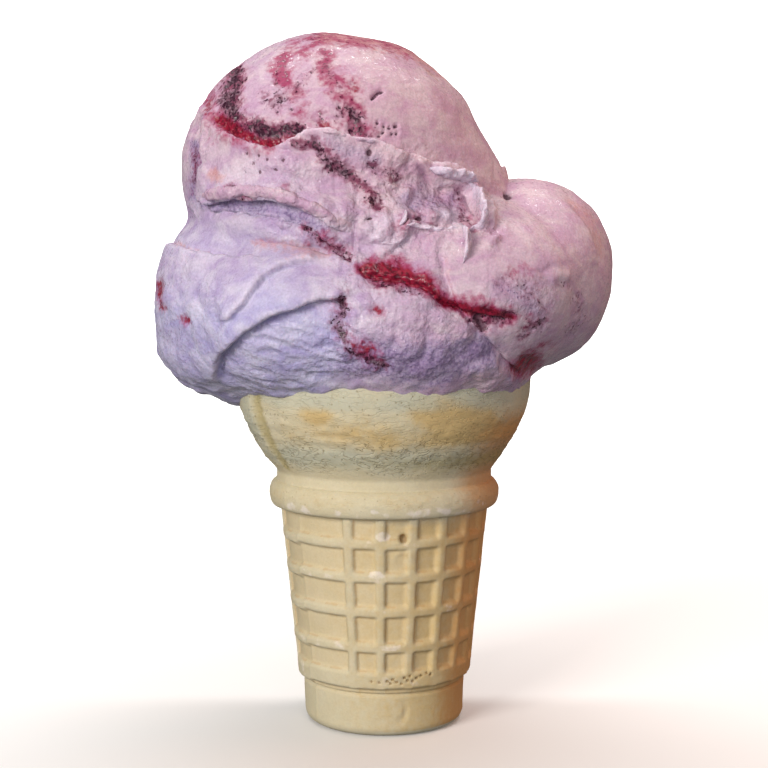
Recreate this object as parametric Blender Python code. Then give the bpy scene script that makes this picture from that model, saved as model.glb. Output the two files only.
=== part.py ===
"""A moulded wafer cup cone that carries one big pressed mass of fruit-ripple ice cream.

Sizes below are in millimetres and degrees, and become metres when a mesh is made.
+Z is up, the origin is the centre of the cup's flat foot, and -Y is the front.
A turn angle starts at the front and goes round by the right-hand side.
"""

import math

import bmesh
import bpy
import numpy as np

MM = 0.001

# Foot and plain base band of the cup.
FOOT_RADIUS = 14.6
FOOT_ROUND = 2.2
BAND_TOP_RADIUS = 17.0
BAND_TOP = 9.2

# Waffled stem: a straight taper, measured over the tops of its ribs.
STEM_BOTTOM_RADIUS = 18.1
STEM_TOP_RADIUS = 21.9
STEM_TOP = 45.9
RELIEF = 0.85
RING_COUNT = 5
FIRST_RING_FOOT = 10.2
RING_PITCH = 7.8
RING_PITCH_LOSS = 0.13
RING_FLANK = 0.5
RING_TOP = 1.3
BOTTOM_RING_TOP = 2.9
RIBS_PER_HALF = 7
RIB_STEP = 18.0
RIB_FOOT_HALF_ANGLE = 3.9
RIB_TOP_HALF_ANGLE = 1.8
PAD_STEP = 9.0

# The baking mould is in two halves, which meet at two opposite parting lines.
PARTING = -56.0
FIN_HEIGHT = 1.1
FIN_CREASE = 3.0
FIN_SPREAD = 27.0
FIN_AT_NECK = 0.03
FIN_AT_RIM = 0.78

# Collar, neck, bowl and rim.
COLLAR_MIDDLE = 48.6
COLLAR_HALF_HEIGHT = 2.7
COLLAR_RADIUS = 24.2
NECK = 53.4
NECK_RADIUS = 22.6
BOWL_WIDEST = 72.0
BOWL_RADIUS = 30.7
RIM = 74.6
RIM_ROUND = 0.9
BOWL_STEP = 9.0
BOWL_RINGS = 7

# Inside of the cup.
WALL = 1.9
FLOOR = 2.4
CAVITY_BOTTOM_RADIUS = 14.2
STEM_CAVITY_RADIUS = 19.0

# Clearance between the ice cream and the wafer.
GAP = 0.3

# Lobes of the ice cream: centre and half-widths, each in x, y and z.
LOBES = {
    "top scoop": ((-10.2, 0.0, 114.2), (31.6, 31.0, 29.1)),
    "top scoop's right step": ((3.7, 1.5, 101.7), (24.2, 28.0, 28.9)),
    "right bulge": ((30.6, 0.0, 94.3), (17.2, 22.0, 19.5)),
    "right front": ((17.0, -7.0, 91.5), (25.0, 28.0, 19.0)),
    "middle band": ((-6.0, -6.0, 104.0), (30.0, 27.0, 12.0)),
    "left shoulder": ((-28.0, 0.0, 88.0), (19.7, 26.0, 21.3)),
    "left front": ((-17.0, -8.0, 86.5), (24.0, 28.5, 18.5)),
    "lower left bulge": ((-25.8, 0.0, 79.6), (20.9, 24.0, 11.0)),
    "lower mass": ((0.4, -1.0, 86.0), (35.4, 37.0, 23.7)),
    "back left": ((-17.0, 11.0, 91.0), (25.0, 26.0, 20.0)),
    "back right": ((10.0, 13.0, 94.0), (29.0, 26.0, 20.0)),
}
HEART = (-2.0, 0.0, 98.0)
BLEND = 1.2
LOBE_GRID = 62
LOBE_KEEP = 0.086

# Folds are drawn on an upright card through the cup's axis, seen from an eye point in
# front or behind, and carried along the sight lines to the ice cream. Each fold has the
# side it is seen from, its points (across, up), the edge that stands out, how far it
# stands out, how deep the trough beside it is, and how far both reach.
EYE_DISTANCE = 320.0
EYE_HEIGHT = 97.0
FRONT, BACK = 1, -1
UPPER, LOWER = 1, -1
STEP = 1.1
FOLDS = {
    "lip under the top scoop": (
        FRONT, [(-37, 126), (-28, 120.5), (-20, 120.5), (-10, 123), (1, 120), (8.5, 117), (20, 113)],
        LOWER, 1.6, 1.0, 5.0),
    "slab edge": (FRONT, [(-39, 109.5), (-28, 110.5), (-16.5, 107), (-8, 97.5)], UPPER, 1.3, 1.1, 4.0),
    "shoulder crease": (
        FRONT, [(-46, 100.5), (-36.5, 97.5), (-25, 97), (-15, 98), (-5, 95)], LOWER, 1.0, 1.0, 3.5),
    "upper ridge": (FRONT, [(-33.5, 85), (-28.5, 89.5), (-21.5, 94.5), (-14, 96)], UPPER, 1.5, 0.8, 4.0),
    "lower ridge": (
        FRONT, [(-34.5, 72), (-35.5, 76), (-32, 81), (-24, 85.5), (-14, 88.5), (-6, 90)],
        UPPER, 2.2, 1.2, 5.0),
    "ripple furrow": (FRONT, [(-5, 95), (4.5, 93), (14, 87), (26.5, 84.5)], UPPER, 0.8, 1.4, 3.5),
    "right crease": (FRONT, [(13, 97.5), (15.5, 89.5), (20.5, 82), (29, 74)], UPPER, 0.8, 1.3, 4.0),
    "back lip": (BACK, [(-30, 118), (-14, 112), (4, 114), (22, 121), (34, 128)], LOWER, 1.6, 1.2, 5.0),
    "back fold": (BACK, [(-40, 96), (-24, 91), (-6, 93), (12, 88), (30, 92)], UPPER, 1.5, 1.2, 4.5),
    "back ridge": (BACK, [(-22, 76), (-8, 82), (8, 80), (22, 84)], UPPER, 1.5, 0.9, 4.5),
}


def clear_scene():
    for obj in list(bpy.data.objects):
        bpy.data.objects.remove(obj, do_unlink=True)


def material(name, colour, roughness):
    made = bpy.data.materials.new(name)
    made.use_nodes = True
    shader = made.node_tree.nodes["Principled BSDF"]
    shader.inputs["Base Color"].default_value = (*colour, 1.0)
    shader.inputs["Roughness"].default_value = roughness
    shader.inputs["Metallic"].default_value = 0.0
    return made


def new_object(name, bm, paint=None):
    """An object from a bmesh that was made in millimetres."""
    bmesh.ops.scale(bm, vec=(MM, MM, MM), verts=bm.verts)
    bmesh.ops.recalc_face_normals(bm, faces=bm.faces)
    mesh = bpy.data.meshes.new(name)
    bm.to_mesh(mesh)
    bm.free()
    if paint:
        mesh.materials.append(paint)
    obj = bpy.data.objects.new(name, mesh)
    bpy.context.scene.collection.objects.link(obj)
    return obj


# ---------------------------------------------------------------- rings of points


def stem_angles():
    """Turn angles of the stem's upright lines: four for each rib, and the plain pads between."""
    angles = []
    for middle in (PARTING + 90, PARTING + 270):
        for i in range(RIBS_PER_HALF):
            rib = middle + RIB_STEP * (i - (RIBS_PER_HALF - 1) / 2)
            for side in (-RIB_FOOT_HALF_ANGLE, -RIB_TOP_HALF_ANGLE, RIB_TOP_HALF_ANGLE, RIB_FOOT_HALF_ANGLE):
                angles.append(rib + side)
        last = middle + RIB_STEP * (RIBS_PER_HALF - 1) / 2
        pad_width = 180 - RIB_STEP * (RIBS_PER_HALF - 1)
        angles += [last + PAD_STEP * k for k in range(1, round(pad_width / PAD_STEP))]
    return sorted(a % 360 for a in angles)


def bowl_angles():
    """Evenly spaced turn angles, with one more at the crease of each mould fin."""
    angles = [PARTING + BOWL_STEP * k for k in range(round(360 / BOWL_STEP))]
    angles += [PARTING - FIN_CREASE, PARTING + 180 - FIN_CREASE]
    return sorted(a % 360 for a in angles)


def ring(bm, angles, height, radius):
    """Points at one height; radius is a number or a function of the turn angle."""
    made = []
    for a in angles:
        r = radius(a) if callable(radius) else radius
        t = math.radians(a)
        made.append((a, bm.verts.new((r * math.sin(t), -r * math.cos(t), height))))
    return made


def stitch(bm, low, high):
    """A band of triangles between two rings that may have different turn angles."""
    i = j = 0
    while i < len(low) or j < len(high):
        next_low = low[i + 1][0] if i + 1 < len(low) else 360 + low[0][0]
        next_high = high[j + 1][0] if j + 1 < len(high) else 360 + high[0][0]
        a, b = low[i % len(low)][1], high[j % len(high)][1]
        if j == len(high) or (i < len(low) and next_low <= next_high):
            bm.faces.new((a, low[(i + 1) % len(low)][1], b))
            i += 1
        else:
            bm.faces.new((a, high[(j + 1) % len(high)][1], b))
            j += 1


def cap(bm, points, height):
    centre = bm.verts.new((0, 0, height))
    for k, (_, point) in enumerate(points):
        bm.faces.new((point, points[(k + 1) % len(points)][1], centre))


# ---------------------------------------------------------------- wafer cup


def rib_height(angle):
    """1 on the tops of the upright ribs, 0 on the cells and pads between them."""
    offset = (angle - PARTING) % 180 - 90
    nearest = round(offset / RIB_STEP)
    away = abs(offset - nearest * RIB_STEP)
    if abs(nearest) > (RIBS_PER_HALF - 1) / 2 or away > RIB_TOP_HALF_ANGLE + 0.01:
        return 0.0
    return 1.0


def ring_feet():
    return [FIRST_RING_FOOT + RING_PITCH * k - RING_PITCH_LOSS * k * k for k in range(RING_COUNT)]


def stem_rows():
    """Heights of the stem's lines from below the first ring to the collar, with 1 for a ring top."""
    rows = []
    for k, foot in enumerate(ring_feet()):
        top = BOTTOM_RING_TOP if k == 0 else RING_TOP
        if k > 0:
            rows.append((foot, 0.0))
        rows += [(foot + RING_FLANK, 1.0), (foot + RING_FLANK + top, 1.0), (foot + 2 * RING_FLANK + top, 0.0)]
    return rows + [(STEM_TOP, 0.0)]


def stem_radius(height, relief):
    share = (height - BAND_TOP) / (STEM_TOP - BAND_TOP)
    return STEM_BOTTOM_RADIUS + share * (STEM_TOP_RADIUS - STEM_BOTTOM_RADIUS) - RELIEF * (1 - relief)


def waffle_band(bm, low, high, low_ring, high_ring):
    """Quads between two rows, split so that the rib flanks run on into the cell corners."""
    count = len(low)
    for k in range(count):
        n = (k + 1) % count
        corners = [
            (low[k][1], max(rib_height(low[k][0]), low_ring)),
            (low[n][1], max(rib_height(low[n][0]), low_ring)),
            (high[n][1], max(rib_height(high[n][0]), high_ring)),
            (high[k][1], max(rib_height(high[k][0]), high_ring)),
        ]
        deep = [i for i, corner in enumerate(corners) if corner[1] < 0.5]
        first = deep[0] if len(deep) == 1 else 0
        a, b, c, d = (corners[(first + i) % 4][0] for i in range(4))
        bm.faces.new((a, b, c))
        bm.faces.new((a, c, d))


def fin_height(angle):
    """The mould fin: a sharp crease by the parting line, and a soft slope away from it."""
    away = (PARTING - angle) % 180
    if away > FIN_SPREAD or away < 0.01:
        return 0.0
    if away <= FIN_CREASE:
        return FIN_HEIGHT * away / FIN_CREASE
    return FIN_HEIGHT * math.cos(math.pi / 2 * (away - FIN_CREASE) / (FIN_SPREAD - FIN_CREASE))


def bowl_radius(height):
    share = min(1.0, max(0.0, (height - NECK) / (BOWL_WIDEST - NECK)))
    return NECK_RADIUS + (BOWL_RADIUS - NECK_RADIUS) * math.sin(math.pi / 2 * share)


def bowl_skin(bm, angles, heights, offset=0.0):
    """Rings up the outside of the bowl, with its two mould fins."""
    rings = []
    for height in heights:
        plain = bowl_radius(height) + offset
        share = min(1.0, (height - NECK) / (BOWL_WIDEST - NECK))
        swell = math.sin(math.pi * (FIN_AT_NECK + share * (FIN_AT_RIM - FIN_AT_NECK)))
        rings.append(ring(bm, angles, height, lambda a: plain + fin_height(a) * swell))
    return rings


def bowl_heights():
    steps = range(1, BOWL_RINGS + 1)
    return [NECK + (BOWL_WIDEST - NECK) * k / BOWL_RINGS for k in steps] + [RIM - RIM_ROUND]


def cavity_profile(shrink):
    """Heights and radii of the cup's inside from the floor to just under the rim."""
    profile = [(FLOOR + shrink, CAVITY_BOTTOM_RADIUS - shrink), (STEM_TOP, STEM_CAVITY_RADIUS - shrink)]
    profile.append((NECK, NECK_RADIUS - WALL - shrink))
    for share in (0.22, 0.45, 0.7, 1.0):
        height = NECK + share * (BOWL_WIDEST - NECK)
        profile.append((height, bowl_radius(height) - WALL - shrink))
    return profile


def build_wafer_cup(paint):
    bm = bmesh.new()
    round_angles, waffle_angles = bowl_angles(), stem_angles()

    foot = ring(bm, round_angles, 0.0, FOOT_RADIUS)
    cap(bm, foot, 0.0)
    below = foot
    for turn in (30, 60, 90):
        t = math.radians(turn)
        height = FOOT_ROUND * (1 - math.cos(t))
        above = ring(bm, round_angles, height, FOOT_RADIUS + FOOT_ROUND * math.sin(t))
        stitch(bm, below, above)
        below = above

    band = ring(bm, waffle_angles, BAND_TOP, BAND_TOP_RADIUS)
    stitch(bm, below, band)
    below, below_ring = band, 1.0
    for height, ring_top in stem_rows():
        above = ring(
            bm, waffle_angles, height, lambda a: stem_radius(height, max(rib_height(a), ring_top)))
        waffle_band(bm, below, above, below_ring, ring_top)
        below, below_ring = above, ring_top

    for turn in (-60, -20, 25, 65):
        t = math.radians(turn)
        height = COLLAR_MIDDLE + COLLAR_HALF_HEIGHT * math.sin(t)
        above = ring(bm, round_angles, height, NECK_RADIUS + (COLLAR_RADIUS - NECK_RADIUS) * math.cos(t))
        stitch(bm, below, above)
        below = above
    neck = ring(bm, round_angles, NECK - 0.6, NECK_RADIUS)
    for above in [neck] + bowl_skin(bm, round_angles, bowl_heights()):
        stitch(bm, below, above)
        below = above

    for height, inward in ((RIM, RIM_ROUND), (RIM, WALL - RIM_ROUND / 2), (RIM - RIM_ROUND, WALL)):
        above = ring(bm, round_angles, height, BOWL_RADIUS - inward)
        stitch(bm, below, above)
        below = above
    for height, radius in reversed(cavity_profile(0.0)):
        above = ring(bm, round_angles, height, radius)
        stitch(bm, below, above)
        below = above
    cap(bm, below, FLOOR)
    return new_object("wafer_cup", bm, paint)


# ---------------------------------------------------------------- ice cream


def lobe_reach(directions):
    """How far the joined lobes reach from the heart along each unit direction."""
    total = np.zeros(len(directions))
    for centre, half in LOBES.values():
        half = np.array(half)
        start = (np.array(HEART) - np.array(centre)) / half
        step = directions / half
        a = (step**2).sum(axis=1)
        b = (step * start).sum(axis=1)
        c = (start**2).sum() - 1
        inside = b * b - a * c
        far = np.where(inside > 0, (-b + np.sqrt(np.maximum(inside, 0))) / a, 0)
        total += np.exp(far / BLEND)
    return BLEND * np.log(total)


def on_card(points, side):
    """Where the sight lines from the eye to the points cross the upright card."""
    x, depth, z = side * points[:, 0], EYE_DISTANCE + side * points[:, 1], points[:, 2]
    scale = EYE_DISTANCE / depth
    return x * scale, EYE_HEIGHT + (z - EYE_HEIGHT) * scale


def smooth(x):
    x = np.clip(x, 0, 1)
    return x * x * (3 - 2 * x)


def line_distance(across, up, line):
    """Distance to a line of points, its sign (+ on the left of the way it runs), and the share along it."""
    line = np.array(line, float)
    lengths = np.hypot(*(line[1:] - line[:-1]).T)
    starts = np.concatenate([[0], np.cumsum(lengths)])
    best = np.full(len(across), 1e9)
    sign, along = np.ones(len(across)), np.zeros(len(across))
    for k, length in enumerate(lengths):
        dx, dy = (line[k + 1] - line[k]) / length
        px, py = across - line[k][0], up - line[k][1]
        t = np.clip(px * dx + py * dy, 0, length)
        away = np.hypot(px - t * dx, py - t * dy)
        near = away < best
        best = np.where(near, away, best)
        sign = np.where(near, np.sign(dx * py - dy * px), sign)
        along = np.where(near, (starts[k] + t) / starts[-1], along)
    return best, sign, along


def fold_height(points):
    """How far the folds lift or sink the ice cream at each point."""
    height = np.zeros(len(points))
    for side, line, edge, lift, trough, reach in FOLDS.values():
        across, up = on_card(points, side)
        away, sign, along = line_distance(across, up, line)
        taper = smooth(along / 0.15) * smooth((1 - along) / 0.15)
        facing = smooth((-side * points[:, 1] - 2) / 8)
        share = smooth((edge * sign * away / STEP + 1) / 2)
        over = lift * np.exp(-away / reach)
        under = -trough * np.exp(-2 * away / reach)
        height += taper * facing * (share * over + (1 - share) * under)
    return height


def build_ice_cream(paint):
    """The lobes and folds as one closed skin, cut round the cup and joined to what fills it."""
    bm = bmesh.new()
    bmesh.ops.create_cube(bm, size=2.0)
    bmesh.ops.subdivide_edges(bm, edges=bm.edges, cuts=LOBE_GRID - 1, use_grid_fill=True)
    directions = np.array([vert.co[:] for vert in bm.verts])
    directions = np.tan(directions * math.pi / 4)
    directions /= np.linalg.norm(directions, axis=1, keepdims=True)
    points = np.array(HEART) + directions * lobe_reach(directions)[:, None]
    points += directions * fold_height(points)[:, None]
    for vert, point in zip(bm.verts, points):
        vert.co = point
    ice_cream = new_object("ice_cream", bm, paint)

    fewer = ice_cream.modifiers.new("fewer faces", "DECIMATE")
    fewer.ratio = LOBE_KEEP
    cut = ice_cream.modifiers.new("room for the cup", "BOOLEAN")
    cut.operation = "DIFFERENCE"
    cut.object = build_cup_room()
    fill = ice_cream.modifiers.new("filling", "BOOLEAN")
    fill.operation = "UNION"
    fill.object = build_filling()
    return ice_cream


def build_guide(name, bm):
    guide = new_object(name, bm)
    guide.hide_render = True
    guide.display_type = "WIRE"
    return guide


def build_cup_room():
    """The bowl's outer shape grown by the gap, solid right through."""
    bm = bmesh.new()
    angles = bowl_angles()
    heights = bowl_heights()
    rings = bowl_skin(bm, angles, heights[:-1] + [RIM + GAP], GAP)
    cap(bm, rings[0], heights[0])
    for low, high in zip(rings, rings[1:]):
        stitch(bm, low, high)
    cap(bm, rings[-1], RIM + GAP)
    return build_guide("cup_room", bm)


def build_filling():
    """What fills the cup down to its floor, up into the mass above the rim."""
    bm = bmesh.new()
    angles = bowl_angles()
    profile = cavity_profile(GAP)
    profile.append((RIM + 3.0, profile[-1][1]))
    rings = [ring(bm, angles, height, radius) for height, radius in profile]
    cap(bm, rings[0], profile[0][0])
    for low, high in zip(rings, rings[1:]):
        stitch(bm, low, high)
    cap(bm, rings[-1], profile[-1][0])
    return build_guide("filling", bm)


clear_scene()
build_wafer_cup(material("baked wafer", (0.60, 0.51, 0.32), 0.75))
build_ice_cream(material("fruit ripple ice cream", (0.58, 0.42, 0.52), 0.45))
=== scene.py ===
# %% [markdown]
# # An ice cream cone
#
# A flat-bottomed wafer cup, baked in a two-part mould, carries one big mass of fruit-ripple
# ice cream that a spade has pressed on in folds. The solids of the cup and of the ice cream come
# in as a fixed frame. This script makes their looks: two fine skins over those solids, a few thin
# torn blades of ice cream, three finishes, a floor, soft lights and a camera.
#
# Sizes are in millimetres and become metres when a mesh is made. +Z is up, -Y is the front, and
# the origin is the centre of the cup's foot. A turn angle starts at the front and goes round by
# the right-hand side.

# %% Load the frame
import math

import bmesh
import bpy
import numpy as np
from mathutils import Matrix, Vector


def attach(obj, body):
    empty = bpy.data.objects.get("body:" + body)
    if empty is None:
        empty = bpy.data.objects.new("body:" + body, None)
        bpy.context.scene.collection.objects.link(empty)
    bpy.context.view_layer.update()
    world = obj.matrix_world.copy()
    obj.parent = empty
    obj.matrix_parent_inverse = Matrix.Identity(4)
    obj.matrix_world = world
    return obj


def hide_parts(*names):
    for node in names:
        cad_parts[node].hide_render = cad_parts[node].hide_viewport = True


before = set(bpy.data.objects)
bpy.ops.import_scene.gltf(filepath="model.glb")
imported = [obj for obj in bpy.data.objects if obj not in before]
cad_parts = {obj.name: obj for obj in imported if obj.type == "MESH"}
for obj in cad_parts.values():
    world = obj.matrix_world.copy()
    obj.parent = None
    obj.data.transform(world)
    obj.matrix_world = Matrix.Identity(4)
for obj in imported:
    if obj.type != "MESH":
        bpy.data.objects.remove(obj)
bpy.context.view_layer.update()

MM = 0.001

# %% [markdown]
# ## Shared helpers
#
# Nothing on food is exactly even, so both skins need smooth random relief. A lattice of random
# slopes, blended between its corners, gives lumps of one chosen size, and the same seed always
# gives the same lumps. Blender's Displace modifier could do it too, but a function can be
# weighted point by point, so that torn ice cream is rough and scooped ice cream is smooth.


# %% Smooth random relief
def lumps(points, size, seed):
    """Random values, mostly from -1 to 1, in lumps about size mm across."""
    random = np.random.default_rng(seed)
    order = random.permutation(256)
    slopes = random.normal(size=(256, 3))
    slopes /= np.linalg.norm(slopes, axis=1, keepdims=True)
    cell = points / size + random.uniform(0, 90, 3)
    corner = np.floor(cell).astype(int)
    part = cell - corner
    fade = part**3 * (part * (part * 6 - 15) + 10)
    total = np.zeros(len(points))
    for step in np.ndindex(2, 2, 2):
        x, y, z = ((corner + step) & 255).T
        slope = slopes[order[(order[(order[x] + y) & 255] + z) & 255]]
        share = np.where(step, fade, 1 - fade).prod(axis=1)
        total += share * (slope * (part - step)).sum(axis=1)
    return 1.8 * total


def smooth(x):
    """0 below 0, 1 above 1, and a soft S in between."""
    x = np.clip(x, 0, 1)
    return x * x * (3 - 2 * x)


def bell(distance, width):
    """1 in the middle, a third at the width, and nearly 0 at twice the width."""
    return np.exp(-((distance / width) ** 2))


print("relief sample:", lumps(np.array([[1.0, 2.0, 3.0], [4.0, 5.0, 6.0]]), 5.0, 1).round(3))


# %% Pieces and the numbers that their points carry
def new_object(name, data, place=(0.0, 0.0, 0.0)):
    """Put a mesh, a lamp or a camera into the scene, at a place in mm."""
    made = bpy.data.objects.new(name, data)
    made.location = np.array(place) * MM
    bpy.context.scene.collection.objects.link(made)
    return made


def add_piece(name, points, faces, shows):
    """A smooth-shaded mesh piece from points in mm that stands for a solid."""
    mesh = bpy.data.meshes.new(name)
    mesh.from_pydata((points * MM).tolist(), [], faces.tolist())
    mesh.shade_smooth()
    piece = new_object(name, mesh)
    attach(piece, "root")
    if shows:
        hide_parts(shows)
    return piece


def store(piece, **marks):
    """Keep a number of each mark at every point, for the finish to read."""
    for name, values in marks.items():
        attribute = piece.data.attributes.new(name, "FLOAT", "POINT")
        attribute.data.foreach_set("value", values.astype(np.float32))


def ring_faces(rows, in_row, first=0):
    """Quads between neighbouring rows of a grid whose rows close on themselves."""
    low = first + np.arange(in_row) + (np.arange(rows - 1) * in_row)[:, None]
    high = np.roll(low, -1, axis=1)
    return np.stack([low, high, high + in_row, low + in_row], axis=2).reshape(-1, 4)


print("a band of three quads:", ring_faces(2, 3).tolist())

# %% [markdown]
# A finish is a Principled shader fed by nodes. A mark on the points says where a shade lies, but
# by itself it would leave the soft, even edge of an airbrush. So each shade is laid over the ones
# before it with noise breaking up its edge, as crumbs and crystals do on food.


# %% Nodes of a finish
def linear(colour):
    """The linear red, green, blue and 1 of an sRGB hex colour."""
    parts = [int(colour[i:i + 2], 16) / 255 for i in (0, 2, 4)]
    return [*(v / 12.92 if v <= 0.04045 else ((v + 0.055) / 1.055) ** 2.4 for v in parts), 1.0]


def new_finish(name):
    """An empty finish with its nodes and its shader."""
    finish = bpy.data.materials.new(name)
    finish.use_nodes = True
    return finish, finish.node_tree, finish.node_tree.nodes["Principled BSDF"]


def plug(tree, made, inputs):
    """Give each input of a node a value or another node's output."""
    for name, value in inputs.items():
        if isinstance(value, bpy.types.NodeSocket):
            tree.links.new(value, made.inputs[name])
        else:
            made.inputs[name].default_value = value


def node(tree, kind, settings, inputs):
    """Add a node and hand back its outputs."""
    made = tree.nodes.new("ShaderNode" + kind)
    for name, value in settings.items():
        setattr(made, name, value)
    plug(tree, made, inputs)
    return made.outputs


def marks_of(tree, names):
    """The outputs of the marks that the points of a skin carry."""
    return {name: node(tree, "Attribute", {"attribute_name": name}, {})["Fac"] for name in names.split()}


def maths(tree, operation, *values):
    """Add, multiply or otherwise combine values."""
    return node(tree, "Math", {"operation": operation}, dict(enumerate(values)))[0]


def noise(tree, place, size, detail, distortion=0.0):
    """Soft noise from 0 to 1 in lumps about size mm across."""
    return node(tree, "TexNoise", {}, {
        "Vector": place, "Scale": 1 / MM / size, "Detail": detail, "Distortion": distortion})["Fac"]


def ramp(tree, value, start, end, low=0.0, high=1.0, curve="LINEAR"):
    """Stretch a value so that start becomes low and end becomes high, and stays there beyond."""
    return node(tree, "MapRange", {"interpolation_type": curve}, {
        0: value, 1: start, 2: end, 3: low, 4: high})[0]


def mix(tree, share, first, second):
    """A colour that goes from the first to the second as the share goes from 0 to 1."""
    return node(tree, "Mix", {"data_type": "RGBA"}, {0: share, 6: first, 7: second})[2]


def bump(tree, height, strength, depth, under=None, sunk=False):
    """Fine relief of a depth in mm, standing out or sunk, on top of the relief under it."""
    inputs = {"Strength": strength, "Distance": depth * MM, "Height": height}
    if under is not None:
        inputs["Normal"] = under
    return node(tree, "Bump", {"invert": sunk}, inputs)[0]


def paint(tree, colour, mark, shade, cover, breaker, breaking, start, end):
    """Lay a shade over a colour where a mark is strong, with noise breaking up its edge."""
    shift = maths(tree, "MULTIPLY_ADD", breaker, breaking, -0.5 * breaking)
    share = ramp(tree, maths(tree, "ADD", mark, shift), start, end, 0.0, cover, "SMOOTHSTEP")
    present = node(tree, "Math", {"operation": "MULTIPLY", "use_clamp": True}, {0: mark, 1: 5.0})[0]
    return mix(tree, maths(tree, "MULTIPLY", share, present), colour, shade)


print("mid grey is", [round(v, 3) for v in linear("808080")])

# %% [markdown]
# ## The wafer cup
#
# The real cup is batter baked between two halves of a mould and a core. Its stem has a waffle of
# upright ribs and level rings, then come a collar, a neck and a round bowl. A lathe profile with a
# Screw modifier would give the round parts but not the waffle, and a boolean for each cell would
# leave hard edges, where baked wafer is soft. So the skin is a grid of points round the axis:
# each row has a height and a plain radius, and ribs, rings, fins and dents are added as functions
# of the turn angle and the height.

# %% Sizes of the cup
FOOT_RADIUS, FOOT_ROUND = 14.6, 2.2
BAND_TOP_RADIUS, BAND_TOP = 17.0, 9.2
STEM_BOTTOM_RADIUS, STEM_TOP_RADIUS, STEM_TOP = 18.1, 21.9, 45.9
RELIEF = 0.95
RING_FEET = [10.2 + 7.8 * k - 0.13 * k * k for k in range(5)]
RING_TOP, BOTTOM_RING_TOP = 1.5, 3.1
RIB_STEP, RIBS_PER_HALF, RIB_HALF_WIDTH = 18.0, 7, 2.9
PARTING = -56.0
FIN_HEIGHT, FIN_CREASE, FIN_SPREAD = 1.2, 2.2, 27.0
COLLAR_MIDDLE, COLLAR_HALF_HEIGHT, COLLAR_RADIUS = 48.6, 2.7, 24.2
NECK, NECK_RADIUS = 53.4, 22.6
BOWL_WIDEST, BOWL_RADIUS = 72.0, 30.7
RIM, RIM_ROUND = 74.6, 0.9
WALL, FLOOR = 1.9, 2.4
print("ring feet at", [round(z, 1) for z in RING_FEET])

# %% [markdown]
# The outline of the cup is one list of heights and radii, from the middle of the foot up the
# outside, over the rim and down to the floor inside. Rows are closest on the waffle, about a
# quarter of a millimetre apart, and far apart inside, where the ice cream hides them.


# %% The outline, row by row
def bowl_radius(height):
    share = np.clip((height - NECK) / (BOWL_WIDEST - NECK), 0, 1)
    return NECK_RADIUS + (BOWL_RADIUS - NECK_RADIUS) * np.sin(np.pi / 2 * share)


def outline_rows():
    """Heights and radii of every row, and how much of the outside's detail each row takes."""
    rows = [(0.0, r, 0.0) for r in np.linspace(0.4, FOOT_RADIUS - 0.5, 5)]
    for t in np.radians(np.linspace(0, 86, 9)):
        rows.append((FOOT_ROUND * (1 - math.cos(t)), FOOT_RADIUS + FOOT_ROUND * math.sin(t), math.sin(t)))
    foot_top = rows[-1]
    for share in np.linspace(0, 1, 14)[1:]:
        height = foot_top[0] + share * (BAND_TOP - foot_top[0])
        rows.append((height, foot_top[1] + share * (BAND_TOP_RADIUS - foot_top[1]), 1.0))
    for height in np.arange(BAND_TOP + 0.2, STEM_TOP - 0.1, 0.275):
        share = (height - BAND_TOP) / (STEM_TOP - BAND_TOP)
        rows.append((height, STEM_BOTTOM_RADIUS + share * (STEM_TOP_RADIUS - STEM_BOTTOM_RADIUS), 1.0))
    for t in np.radians(np.linspace(-84, 88, 27)):
        height = COLLAR_MIDDLE + COLLAR_HALF_HEIGHT * math.sin(t)
        swell = math.cos(t) ** (1.3 if t > 0 else 0.7)
        rows.append((height, NECK_RADIUS + (COLLAR_RADIUS - NECK_RADIUS) * swell, 1.0))
    for height in np.linspace(COLLAR_MIDDLE + COLLAR_HALF_HEIGHT + 0.3, RIM - RIM_ROUND, 50):
        rows.append((height, float(bowl_radius(height)), 1.0))
    for t in np.radians(np.linspace(15, 165, 7)):
        middle = BOWL_RADIUS - WALL / 2
        rows.append((RIM - RIM_ROUND * (1 - math.sin(t)), middle + WALL / 2 * math.cos(t), 0.3))
    for height in np.linspace(RIM - 1.5, NECK, 8):
        rows.append((height, float(bowl_radius(height)) - WALL, 0.0))
    rows += [(STEM_TOP, 19.0, 0.0), (FLOOR + 2, 14.6, 0.0), (FLOOR, 13.6, 0.0), (FLOOR, 0.4, 0.0)]
    return np.array(rows).T


row_height, row_radius, row_detail = outline_rows()
print(len(row_height), "rows up the cup")

# %% [markdown]
# Columns crowd on the flanks of the ribs, because a flank is only about a millimetre wide. The
# spacing comes from adding up a density and reading it backwards, which is the usual way to
# spread points unevenly without gaps.

# %% Columns round the cup
CUP_COLUMNS = 366


def rib_distance(angle):
    """Degrees from the middle of the nearest rib; far from any rib on the plain pads."""
    offset = (angle - PARTING) % 180 - 90
    nearest = np.clip(np.round(offset / RIB_STEP), -(RIBS_PER_HALF // 2), RIBS_PER_HALF // 2)
    return np.abs(offset - nearest * RIB_STEP)


fine = np.linspace(0, 360, 7201)
crowding = 1 + 1.3 * bell(rib_distance(fine) - RIB_HALF_WIDTH, 0.9)
running = np.concatenate([[0], np.cumsum((crowding[1:] + crowding[:-1]) / 2)])
columns = np.interp(np.arange(CUP_COLUMNS) / CUP_COLUMNS * running[-1], running, fine)
angle, height = (grid.ravel() for grid in np.meshgrid(columns, row_height))
plain, detail = np.repeat(row_radius, CUP_COLUMNS), np.repeat(row_detail, CUP_COLUMNS)
turn = np.radians(angle)
around = np.stack([plain * np.sin(turn), -plain * np.cos(turn), height], axis=1)
print(CUP_COLUMNS, "columns,", len(angle), "points")

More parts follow.
